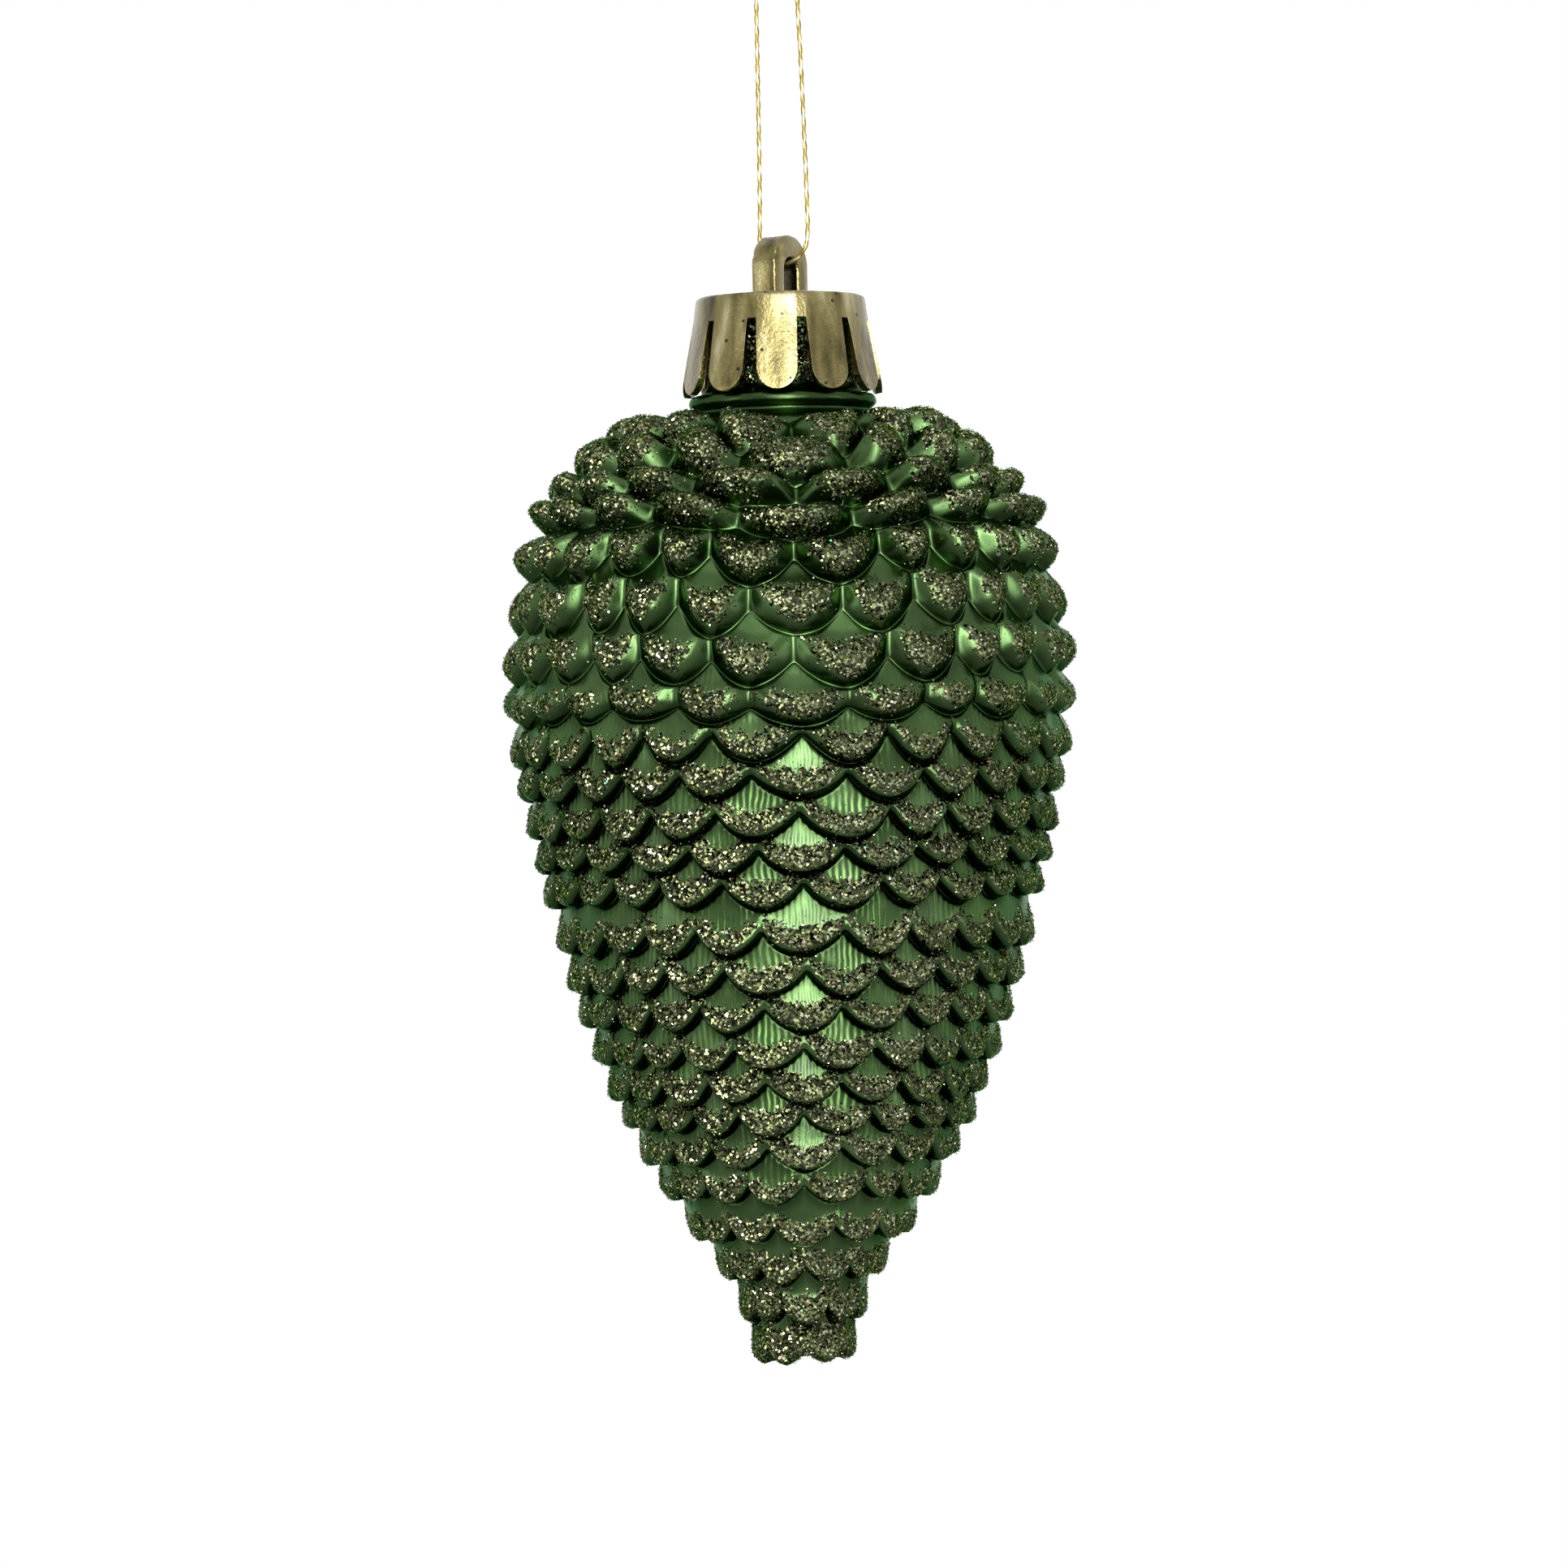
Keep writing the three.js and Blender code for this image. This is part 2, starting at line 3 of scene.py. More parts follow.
import bmesh
import bpy
import numpy as np
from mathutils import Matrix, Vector


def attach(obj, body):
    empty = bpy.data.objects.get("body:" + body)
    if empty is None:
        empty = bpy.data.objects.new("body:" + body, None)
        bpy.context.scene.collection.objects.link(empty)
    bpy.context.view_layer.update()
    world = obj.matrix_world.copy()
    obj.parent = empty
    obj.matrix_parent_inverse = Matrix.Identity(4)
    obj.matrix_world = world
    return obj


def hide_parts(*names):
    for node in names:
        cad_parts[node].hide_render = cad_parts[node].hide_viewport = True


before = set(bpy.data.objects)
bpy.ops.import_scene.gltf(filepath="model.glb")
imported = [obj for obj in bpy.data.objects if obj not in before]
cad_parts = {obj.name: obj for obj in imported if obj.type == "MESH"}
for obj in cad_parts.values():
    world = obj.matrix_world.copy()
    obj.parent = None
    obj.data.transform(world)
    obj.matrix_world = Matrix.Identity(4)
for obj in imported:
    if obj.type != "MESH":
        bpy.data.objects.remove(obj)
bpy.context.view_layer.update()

# Pine cone ornament: a glittered green cone, its gold crown cap and its thread loop.
# Lengths named here are in millimetres and become metres through MM where they are used.
# Bearings are in degrees from the front (-Y), positive towards +X.
MM = 0.001
SEED = 7
# Angles round a quarter turn, for rounded edges
QUARTER = [math.pi / 2 * i / 4 for i in range(5)]

# Thread: the route is the one in the part's source, [along the eyelet's hole, height]
THREAD_DIAMETER = 0.5
THREAD_ROUTE = [
    (-2.1, -9.8), (-2.12, -14), (-2.15, -22), (-2.18, -30), (-2.22, -38), (-2.3, -43),
    (-2.36, -45.6), (-2.12, -46.85), (-1.3, -47.72), (0, -48), (1.4, -47.86), (2.6, -47.2),
    (3.3, -46.1), (3.52, -44.6), (3.5, -41), (3.38, -35), (3.15, -27), (2.8, -18), (2.4, -9),
    (2.15, -3.6), (1.85, -1.3), (1.1, -0.1), (0, 0.25), (-1.1, -0.1), (-1.85, -1.3),
    (-2.08, -3), (-2.1, -6.2),
]
THREAD_BEARING = 60
THREAD_STEP = 0.2
THREAD_SIDES = 12
PLY_PITCH = 2.6
PLY_WAIST = 0.3
# Knot: wraps that wind down a core and bulge in its middle, and two tails, each by its route from
# the knot's middle, [back along the eyelet's hole, aside, up]
KNOT_ALONG = -2.1
KNOT_HEIGHT = -8.0
WRAP_COUNT = 3
WRAP_STEPS = 26
WRAP_RADIUS = 0.42
WRAP_BULGE = 0.16
WRAP_HALF_HEIGHT = 0.85
WRAP_TILT = 0.18
CORE_HALF_LENGTH = 1.35
CORE_POINTS = 14
TAIL_ROUTE = [(0, 0.1, 0), (1.5, 0.5, 0.2), (3.4, 1.1, -0.35), (4.9, 1.6, -1.35)]

# Crown cap: depths and heights are from its top face
CAP_TOP = -51.55
CAP_RADIUS = 9.05
CAP_EDGE_ROUND = 0.5
CAP_THICKNESS = 1.3
CAP_SHARP_ANGLE = 40
DISC_RADII = (2.5, 4.5, 6, 7.2, 8.1)
SKIRT_LENGTH = 10.4
SKIRT_DEPTHS = (1.2, 2.0)
SLOT_START = 2.8
SLOT_START_RADIUS = 9.36
PETAL_COUNT = 11
PETAL_BEARING = -3
PETAL_WIDTH = 4.35
PETAL_THICKNESS = 0.75
PETAL_TIP_RADIUS = 10.85
# How much flatter across a petal is than the cone that it is cut from
PETAL_BOW = 0.24
PETAL_COLUMNS = 18
PETAL_ROWS = 12
PETAL_EDGE_ROUND = 0.16
PETAL_EDGE_SEGMENTS = 3
PETAL_EDGE_ANGLE = 50
PLUG_RADIUS = 6.3
PLUG_WALL = 1.0
PLUG_LENGTH = 6.0
PLUG_CHAMFER = 0.35
PLUG_COLUMNS = 96
# The plug's top lies inside the disc, at this share of its thickness
PLUG_SINK = 0.6
EYELET_BEARING = 150
EYELET_WIDTH = 7.1
EYELET_HEIGHT = 6.6
EYELET_SHOULDER = 3.3
EYELET_THICKNESS = 3.1
EYELET_ROUND = 0.5
EYELET_HOLE_WIDTH = 2.9
EYELET_HOLE_HEIGHT = 4.1
EYELET_LEG_HEIGHTS = (-0.5, 0.2, 1.2, 2.2, 3.0)
EYELET_ARC_STEPS = 30
EYELET_LEAST_STEP = 0.01
# A shallow mark across one side of the eyelet: height, half height, depth
EYELET_MARK = (4.4, 0.25, 0.12)

# Cone, over the tips of its scales; its outline in shares of these: [radius, height above the tip]
CONE_TIP = -164.95
CONE_RADIUS = 30.85
CONE_LENGTH = 101.5
CONE_OUTLINE = [
    (0.172, 0), (0.256, 0.079), (0.434, 0.158), (0.596, 0.246), (0.726, 0.34), (0.823, 0.438),
    (0.914, 0.552), (0.985, 0.65), (1, 0.719), (0.969, 0.803), (0.895, 0.872), (0.765, 0.929),
    (0.622, 0.97), (0.512, 0.992), (0.408, 1),
]
OUTLINE_SAMPLES = 200
# Neck, collar and groove, from the mouth down to the shoulder: [radius, height above the tip]
NECK_PROFILE = [
    (6.75, 111.8), (7.0, 111.95), (7.5, 111.95), (7.8, 111.65), (7.8, 110.6), (7.55, 110.2),
    (7.55, 109.6), (7.8, 109.2), (7.8, 104.8), (7.95, 104.0), (8.5, 103.3), (9.1, 103.0),
    (9.6, 102.85), (9.9, 102.55), (10.0, 102.15), (9.9, 101.8), (9.6, 101.5), (9.35, 101.3),
    (9.35, 101.1), (9.6, 100.8), (10.1, 100.5), (10.8, 100.3), (11.5, 100.2),
]
NECK_BORE = 6.6
NECK_BORE_HEIGHTS = (100.2, 101.5, 104, 108, 111.2)
SHELL_WALL = 0.8
HOLLOW_RINGS = 22
# The point, below the last row: [share of the last ring, height above that share of its height]
TIP_RINGS = ((0.86, 0.1), (0.66, 0.35), (0.4, 0.6), (0.15, 0.7))
TIP_POLE_HEIGHT = 0.72
SCALE_BEARING = 2
# Scales are wider at the front and the back than at the sides
WIDE_HALF_ANGLE = 22
WIDE_NARROWING = 0.28
TURN_SAMPLES = 1441
# Rows of scales from the shoulder to the tip: [share of the cone's length, scales in the row];
# the first and every other one after it are half a pitch over
SCALE_ROWS = [
    (0.952, 14), (0.922, 15), (0.895, 16), (0.862, 17), (0.808, 25), (0.754, 25), (0.705, 24),
    (0.666, 24), (0.623, 24), (0.588, 24), (0.549, 24), (0.516, 24), (0.48, 24), (0.431, 24),
    (0.39, 22), (0.352, 22), (0.312, 22), (0.276, 20), (0.244, 20), (0.208, 17), (0.171, 17),
    (0.127, 14), (0.085, 12), (0.043, 10), (0, 8),
]
PILLOW_ROWS = 8
PILLOW_RELIEF = 2.6
SCALE_RELIEF = 2.3
RELIEF_LIMIT = 0.3
HIGHEST_RISE = 0.15
PILLOW_SIDE_EDGE = 2
SCALE_SIDE_EDGE = 0.4
LIP_SLOPE = 0.25
SCALE_ARC = 0.47
LIP_FLATNESS = 0.72
FOOT_CURVE = 1.9
# Rows of pillows run higher at the sides; this dies out over the last few rows of them
SIDE_RISE = 1.6
SIDE_RISE_ROWS = 4
# Rows count as full pillows up to the first of these and as plain scales from the second
PILLOW_UNTIL = 6
SCALES_FROM = 10
# How far each row belongs to the shoulder, 0 after these
ON_SHOULDER = (2 / 3, 1, 1, 1, 0.5)
# Places along a row wander by some degrees in these waves, less among the plain scales
WANDER = 0.55
WANDER_TURNS = (5, 8, 13)
SCALES_LOOSE = 0.6
# Limits of each scale's own differences
TIP_SHIFT = (-0.55, 0.45)
FULLNESS = (0.9, 1.0)
COAT_REACH = (-0.35, 0.35)
COAT_SIDE = (-0.22, 0.22)
LEAN = (-0.16, 0.16)

# Pillow: crest of its dome in its height, the curves of its sides, and its knob's part in the form
DOME_CREST = 0.3
PILLOW_SQUARENESS = 2.6
PILLOW_SIDE_FALL = 0.7
KNOB_SHARE = 0.52
KNOB_SPREAD = 1.12
KNOB_STEEPNESS = 3.2
KNOB_UNDERSIDE = 1.6
# Its knob: half width in its width; half height, and middle over the dome's crest, in its height.
# On the shoulder the knobs are taller, sit higher and stand out beyond the others.
KNOB_HALF_WIDTH = 0.36
KNOB_HALF_HEIGHT = 0.205
KNOB_MIDDLE = 0.02
KNOB_LIFT = 0.2
SHOULDER_HALF_HEIGHT = 0.14
SHOULDER_MIDDLE = 0.06
SHOULDER_KNOB = 1.4
SHOULDER_STEEPNESS = 3.5
# Scale: its lip's crest over the foot, height above that, roundness and part in the form
LIP_CREST = 1.3
LIP_HEIGHT = 2.0
LIP_ROUNDNESS = 2.4
LIP_SHARE = 0.26
LIP_SIDE_FALL = 0.3
# A face starts this low under the lip above it and is full after this reach
FACE_START = 0.12
FACE_START_REACH = 0.35
# Faces are flatter than the round of the cone by this share, from this far above their foot
CHORD_SHARE = 0.8
CHORD_REACH = 1.5
COLUMNS = 720
FACE_STEPS = 17
SOFTENING = 3
SOFTENING_SHARE = 0.7
# Painted shade: shares of its colour that the green keeps under a lip, on a rim and on the neck,
# and reaches
UNDER_LIP_SHADE = 0.25
UNDER_LIP_REACH = 1.6
RIM_SHADE = 0.22
RIM_START = 0.2
RIM_REACH = 0.9
RIM_CREASE = 0.3
NECK_SHADE = 0.5
# Fine ribs down the faces of the scales; they fade in over the foot and away towards the tip
RIB_PITCH = 0.68
RIB_DEPTH = 0.022
RIB_FOOT = 2.0
RIB_FOOT_REACH = 1.2
RIB_TIP = 12
RIB_TIP_REACH = 8

# Glitter: how deep inside its edge a place lies, with a value for bare places; on the neck it
# covers only what shows in the cap's slots
BARE = -3.0
NECK_COAT = 0.6
NECK_COAT_HEIGHTS = (103.6, 110.4)
TIP_COAT = 0.3
PILLOW_COAT_SPREAD = 0.5
# Its band along a lip: half height, middle over the foot, what a scale's own reach adds to each,
# and where its ends close; towards the tip it widens
BAND_HALF = 1.15
BAND_HALF_SPREAD = 0.5
BAND_MIDDLE = 1.85
BAND_MIDDLE_SPREAD = 0.2
BAND_END = 0.98
TIP_BAND_GROWTH = 0.07
TIP_BAND_FROM = 16
FLAKE_COUNTS = {"black_green": 36000, "olive": 32000, "silver": 5500, "specks": 1200}
FLAKE_SIZE = (0.06, 0.125)
FLAKE_STRETCH = (0.75, 1.0)
FLAKE_LIFT = (0.03, 0.14)
FLAKE_DEPTH = 0.09
FLAKE_TILT = 0.42
# Chances of a flake: astray near the coat, with the least share of that, and on bare places
STRAY_CHANCE = 0.02
STRAY_REACH = 1.5
STRAY_LEAST = 0.2
BARE_CHANCE = 0.002
BARE_BELOW = -2.5

# Camera and light: distances in metres
CAMERA_DISTANCE = 0.600
CAMERA_X = -0.00079
CAMERA_HEIGHT = -0.1033
CAMERA_ROLL = 1.3
SENSOR = 36
LENS = 129.5
FLOOR_HEIGHT = -0.6
FLOOR_RADIUS = 1.5
DIFFUSE_WORLD = 0.1
FLOOR_GLOW = 0.7
# [name, azimuth from the front towards +X, elevation, height aimed at, distance, size, watts]
LAMPS = [
    ("front_strip", 6, 3, -0.115, 0.5, (0.13, 0.46), 1.7),
    ("front_panel", 6, 4, -0.115, 0.5, (0.36, 0.44), 1.6),
    ("cap_strip", -3, 22, -0.058, 0.5, (0.24, 0.15), 0.6),
    ("top_panel", -5, 52, -0.115, 0.5, (0.45, 0.25), 0.3),
    ("left_side", -62, 0, -0.115, 0.5, (0.14, 0.35), 0.25),
    ("right_side", 66, 0, -0.115, 0.5, (0.14, 0.35), 0.2),
    ("back_strip", 178, 0, -0.115, 0.6, (0.12, 0.60), 1.5),
]

# Colours and gloss; pairs are limits between which a noise or a grain runs
GLITTER_STOPS = [
    (0.0, (0.024, 0.030, 0.018)), (0.42, (0.044, 0.054, 0.030)), (0.62, (0.078, 0.092, 0.040)),
    (0.80, (0.145, 0.158, 0.062)), (0.91, (0.25, 0.26, 0.12)), (0.975, (0.72, 0.70, 0.48)),
]
FLAKE_STOPS = {
    "black_green": [
        (0.0, (0.018, 0.024, 0.014)), (0.6, (0.036, 0.047, 0.027)), (1.0, (0.078, 0.098, 0.053)),
    ],
    "olive": [
        (0.0, (0.044, 0.060, 0.017)), (0.6, (0.112, 0.133, 0.042)), (1.0, (0.27, 0.29, 0.11)),
    ],
    "silver": [(0.0, (0.50, 0.50, 0.36)), (1.0, (0.90, 0.88, 0.72))],
    "specks": [(0.0, (0.35, 0.04, 0.03)), (0.35, (0.02, 0.35, 0.10)), (1.0, (0.10, 0.5, 0.2))],
}
GREEN_STOPS = [(0.3, (0.026, 0.057, 0.013)), (0.7, (0.058, 0.117, 0.031))]
# Colour that the skin turns towards where shade is painted on
PAINTED_SHADE_COLOUR = (0.003, 0.008, 0.002)
# A metal's edges would mirror the white surroundings in full; the lacquer takes most of that away
EDGE_TINT = (0.30, 0.50, 0.25)
LACQUER = 0.33
SATIN = (0.19, 0.28)
GRAINS = 4200
GLITTER_ROUGHNESS = 0.24
GLITTER_TILT = 1.3
COAT_RAGGED = (-1.5, 1.5)
COAT_EDGE_STEEPNESS = 6.0
RIB_WANDER = 1.6
RIB_UNEVEN = (-0.55, 1.85)
# Scales of textures, in cycles per metre
GREEN_SCALE = 160
COAT_RAGGED_SCALE = 1100
RIB_WANDER_SCALE = 260
RIB_UNEVEN_SCALE = 420
GOLD_SCALE = (430, 430, 110)
GOLD_GRAIN_SCALE = 1900
SMUDGE_SCALE = 900
SPECK_SCALE = 520
FIBRE_SCALE = (4200, 4200, 900)
# The gold's streaks: the darker stops are painted reflections of dark surroundings
GOLD_STOPS = [
    (0.34, (0.055, 0.044, 0.012)), (0.46, (0.150, 0.124, 0.040)),
    (0.58, (0.250, 0.212, 0.084)), (0.72, (0.46, 0.42, 0.25)),
]
GOLD_ROUGHNESS = (0.12, 0.29)
GOLD_SMUDGE = (0.05, 0.045, 0.03)
SMUDGES = (-5.6, 3.4)
SMUDGE_SHARE = 0.6
GOLD_SPECK = (0.02, 0.018, 0.01)
SPECK_SIZE = 0.11
# Painted shade in the eyelet's hole, up to this far into its wall and over the disc, in
# millimetres
EYELET_HOLE_SHADE = (0.028, 0.02, 0.008)
HOLE_SHADE_WALL = 0.03
HOLE_SHADE_SILL = 0.05
THREAD_STOPS = [
    (0.0, (0.30, 0.22, 0.05)), (0.3, (0.58, 0.44, 0.11)),
    (0.6, (0.80, 0.68, 0.28)), (0.9, (0.92, 0.87, 0.60)),
]
THREAD_DARK = (0.2, 0.15, 0.03)
FIBRES = (-0.6, 1.6)
FLOOR_STOPS = [(0.3, (0.84, 0.84, 0.84)), (0.7, (0.88, 0.88, 0.88))]


def direction_at(bearing):
    angle = math.radians(bearing)
    return Vector((math.sin(angle), -math.cos(angle), 0))


def place_at(bearing, away, height):
    return direction_at(bearing) * away + Vector((0, 0, height))


def blend(first, second, share):
    return first + (second - first) * share


def smooth_share(value):
    value = np.clip(value, 0, 1)
    return value * value * (3 - 2 * value)


def add_object(name, data):
    item = bpy.data.objects.new(name, data)
    bpy.context.collection.objects.link(item)
    return item


def make_camera():
    data = bpy.data.cameras.new("camera")
    data.sensor_width = SENSOR
    data.lens = LENS
    camera = add_object("camera", data)
    camera.location = (CAMERA_X, -CAMERA_DISTANCE, CAMERA_HEIGHT)
    camera.rotation_euler = (math.radians(90), math.radians(CAMERA_ROLL), 0)
    bpy.context.scene.camera = camera


# Meshes
def make_piece(name, points, face_groups, smooth=True):
    """A mesh object from points in millimetres and arrays of quads, triangles or longer faces."""
    mesh = bpy.data.meshes.new(name)
    points = np.asarray(points, dtype=np.float32) * MM
    mesh.vertices.add(len(points))
    mesh.vertices.foreach_set("co", points.ravel())
    groups = [np.asarray(group, dtype=np.int32) for group in face_groups]
    sizes = np.concatenate([np.full(len(group), group.shape[1]) for group in groups])
    mesh.loops.add(int(sizes.sum()))
    mesh.loops.foreach_set("vertex_index", np.concatenate([group.ravel() for group in groups]))
    mesh.polygons.add(len(sizes))
    mesh.polygons.foreach_set("loop_start", (np.cumsum(sizes) - sizes).astype(np.int32))
    mesh.polygons.foreach_set("use_smooth", np.full(len(sizes), smooth))
    mesh.update(calc_edges=True)
    mesh.validate()
    return add_object(name, mesh)


def set_values(piece, name, values):
    attribute = piece.data.attributes.new(name, "FLOAT", "POINT")
    attribute.data.foreach_set("value", np.asarray(values, dtype=np.float32))


def ring_faces(ring_count, columns):
    """Quads between rings that follow each other, each ring closed on itself."""
    ring = np.arange(ring_count - 1)[:, None] * columns
    here = np.arange(columns)[None, :]
    after = (here + 1) % columns
    corners = [ring + here, ring + after, ring + columns + after, ring + columns + here]
    return np.stack(corners, -1).reshape(-1, 4)


def fan_faces(pole, first, columns, flip=False):
    here = np.arange(columns) + first
    after = (np.arange(columns) + 1) % columns + first
    pole = np.full(columns, pole)
    return np.stack([pole, after, here] if flip else [pole, here, after], -1)


def make_outward(piece):
    """Turns all faces of a closed mesh outwards."""
    shape = bmesh.new()
    shape.from_mesh(piece.data)
    bmesh.ops.recalc_face_normals(shape, faces=shape.faces)
    shape.to_mesh(piece.data)
    shape.free()
    return piece


def add_modifier(piece, kind, **settings):
    modifier = piece.modifiers.new(kind.lower(), kind)
    for key, value in settings.items():
        setattr(modifier, key, value)


def apply_modifiers(piece):
    graph = bpy.context.evaluated_depsgraph_get()
    mesh = bpy.data.meshes.new_from_object(piece.evaluated_get(graph))
    piece.modifiers.clear()
    piece.data = mesh
    mesh.name = piece.name


# Thread and knot
def catmull_rom_points(points):
    """Points along a centripetal Catmull-Rom curve, as the part's source runs its thread."""
    padded = [2 * points[0] - points[1], *points, 2 * points[-1] - points[-2]]
    result = []
    for i in range(len(points) - 1):
        around = padded[i:i + 4]
        knots = [0.0]
        for a, b in zip(around, around[1:]):
            knots.append(knots[-1] + max((b - a).length, 1e-6) ** 0.5)
        count = max(2, round((around[2] - around[1]).length / THREAD_STEP))
        for j in range(count):
            t = blend(knots[1], knots[2], j / count)
            level = around
            for span in (1, 2):
                limits = zip(level, level[1:], knots, knots[span:])
                level = [a.lerp(b, (t - first) / (last - first)) for a, b, first, last in limits]
            result.append(level[0].lerp(level[1], j / count))
    result.append(points[-1])
    return result


def make_strand(name, path):
    """Two plies twisted on each other, with a value from 0 on one of them to 1 on the other."""
    angles = [2 * math.pi * side / THREAD_SIDES for side in range(THREAD_SIDES)]
    distance = 0.0
    points = []
    values = []
    for i, point in enumerate(path):
        tangent = (path[min(i + 1, len(path) - 1)] - path[max(i - 1, 0)]).normalized()
        if i:
            distance += (point - path[i - 1]).length
        else:
            side = tangent.orthogonal()
        side = (side - tangent * side.dot(tangent)).normalized()
        up = tangent.cross(side)
        turn = 2 * math.pi * distance / PLY_PITCH
        for angle in angles:
            radius = THREAD_DIAMETER / 2 * (1 - PLY_WAIST * math.sin(angle - turn) ** 2)
            points.append(point + side * radius * math.cos(angle) + up * radius * math.sin(angle))
            values.append(0.5 + 0.5 * math.cos(angle - turn))
    count = len(points)
    start = fan_faces(count, 0, THREAD_SIDES, flip=True)
    end = fan_faces(count + 1, count - THREAD_SIDES, THREAD_SIDES)
    faces = [ring_faces(len(path), THREAD_SIDES), start, end]
    piece = make_piece(name, [*points, path[0], path[-1]], faces)
    set_values(piece, "ply", [*values, 0.5, 0.5])
    return piece


def make_thread():
    route = [place_at(THREAD_BEARING, along, height) for along, height in THREAD_ROUTE]
    path = catmull_rom_points(route)
    return make_strand("hanging_thread_twisted", path), [point * MM for point in path]


def make_knot():
    """The knot's wraps, its two cut tails, which part towards their ends, and its core."""
    centre = place_at(THREAD_BEARING, KNOT_ALONG, KNOT_HEIGHT)
    along = direction_at(THREAD_BEARING)
    across = direction_at(THREAD_BEARING + 90)
    up = Vector((0, 0, 1))
    wraps = []
    for i in range(WRAP_STEPS * WRAP_COUNT + 1):
        angle = 2 * math.pi * i / WRAP_STEPS
        share = i / (WRAP_STEPS * WRAP_COUNT)
        radius = WRAP_RADIUS + WRAP_BULGE * math.sin(math.pi * share)
        height = WRAP_HALF_HEIGHT * (1 - 2 * share) + WRAP_TILT * math.sin(angle)
        outward = along * math.cos(angle) + across * math.sin(angle)
        wraps.append(centre + outward * radius + up * height)
    tails = []
    for side in (-1, 1):
        route = [centre - along * x + across * side * y + up * z for x, y, z in TAIL_ROUTE]
        tails.append(catmull_rom_points(route))
    heights = np.linspace(CORE_HALF_LENGTH, -CORE_HALF_LENGTH, CORE_POINTS)
    core = [centre + up * height for height in heights]
    parts = [make_strand(f"knot_part_{i}", path) for i, path in enumerate([wraps, *tails, core])]
    bpy.ops.object.select_all(action="DESELECT")
    for part in parts:
        part.select_set(True)
    knot = parts[0]
    bpy.context.view_layer.objects.active = knot
    bpy.ops.object.join()
    knot.name = knot.data.name = "thread_knot_tied"
    return knot


# Crown cap
def skirt_radius(depth):
    share = (depth - SLOT_START) / (SKIRT_LENGTH - SLOT_START)
    return blend(SLOT_START_RADIUS, PETAL_TIP_RADIUS, share)


def make_skirt():
    """Disc and petals as one sheet with square-topped slots between petals, then thickened."""
    end_radius = PETAL_WIDTH / 2
    pitch = 360 / PETAL_COUNT
    half_at_slot = math.degrees(end_radius / SLOT_START_RADIUS)
    middles = [PETAL_BEARING + petal * pitch for petal in range(PETAL_COUNT)]
    shares = [math.sin(math.pi * (i / PETAL_COLUMNS - 0.5)) for i in range(PETAL_COLUMNS + 1)]
    bearings = []
    for middle in middles:
        bearings += [middle + half_at_slot * share for share in shares]
        # One column down the middle of each slot
        bearings.append(middle + pitch / 2)
    rings = [(radius, 0.0) for radius in DISC_RADII]
    for angle in QUARTER:
        radius = CAP_RADIUS - CAP_EDGE_ROUND * (1 - math.sin(angle))
        rings.append((radius, -CAP_EDGE_ROUND * (1 - math.cos(angle))))
    for depth in (*SKIRT_DEPTHS, SLOT_START):
        share = (depth - CAP_EDGE_ROUND) / (SLOT_START - CAP_EDGE_ROUND)
        rings.append((blend(CAP_RADIUS, SLOT_START_RADIUS, share), -depth))

    shape = bmesh.new()

    def vertex(bearing, radius, height):
        return shape.verts.new(place_at(bearing, radius, height))

    centre = vertex(0, 0, 0)
    grid = [[vertex(bearing, *ring) for bearing in bearings] for ring in rings]
    for j in range(len(bearings)):
        after = (j + 1) % len(bearings)
        shape.faces.new((centre, grid[0][j], grid[0][after]))
        for upper, lower in zip(grid, grid[1:]):
            shape.faces.new((upper[j], lower[j], lower[after], upper[after]))
    for petal, middle in enumerate(middles):
        strips = []
        for i, share in enumerate(shares):
            bulge = 1 - share * share
            end = SKIRT_LENGTH - end_radius + end_radius * math.sqrt(max(0, bulge))
            strip = [grid[-1][petal * (len(shares) + 1) + i]]
            for row in range(1, PETAL_ROWS + 1):
                depth = blend(SLOT_START, end, row / PETAL_ROWS)
                radius = skirt_radius(depth)
                bow = PETAL_BOW * bulge * (depth - SLOT_START) / (SKIRT_LENGTH - SLOT_START)
                bearing = middle + math.degrees(end_radius * share / radius)
                strip.append(vertex(bearing, radius - bow, -depth))
            strips.append(strip)
        for left, right in zip(strips, strips[1:]):
            for row in range(PETAL_ROWS):
                shape.faces.new((left[row], left[row + 1], right[row + 1], right[row]))
    bmesh.ops.recalc_face_normals(shape, faces=shape.faces)
    if centre.normal.z < 0:
        bmesh.ops.reverse_faces(shape, faces=shape.faces)
    for point in shape.verts:
        point.co = (point.co + Vector((0, 0, CAP_TOP))) * MM
    mesh = bpy.data.meshes.new("skirt")
    shape.to_mesh(mesh)
    shape.free()
    skirt = add_object("skirt", mesh)
    thickness = PETAL_THICKNESS * MM
    add_modifier(skirt, "SOLIDIFY", thickness=thickness, offset=-1, use_even_offset=True)
    add_modifier(
        skirt, "BEVEL", width=PETAL_EDGE_ROUND * MM, segments=PETAL_EDGE_SEGMENTS,
        limit_method="ANGLE", angle_limit=math.radians(PETAL_EDGE_ANGLE),
    )
    apply_modifiers(skirt)
    return skirt


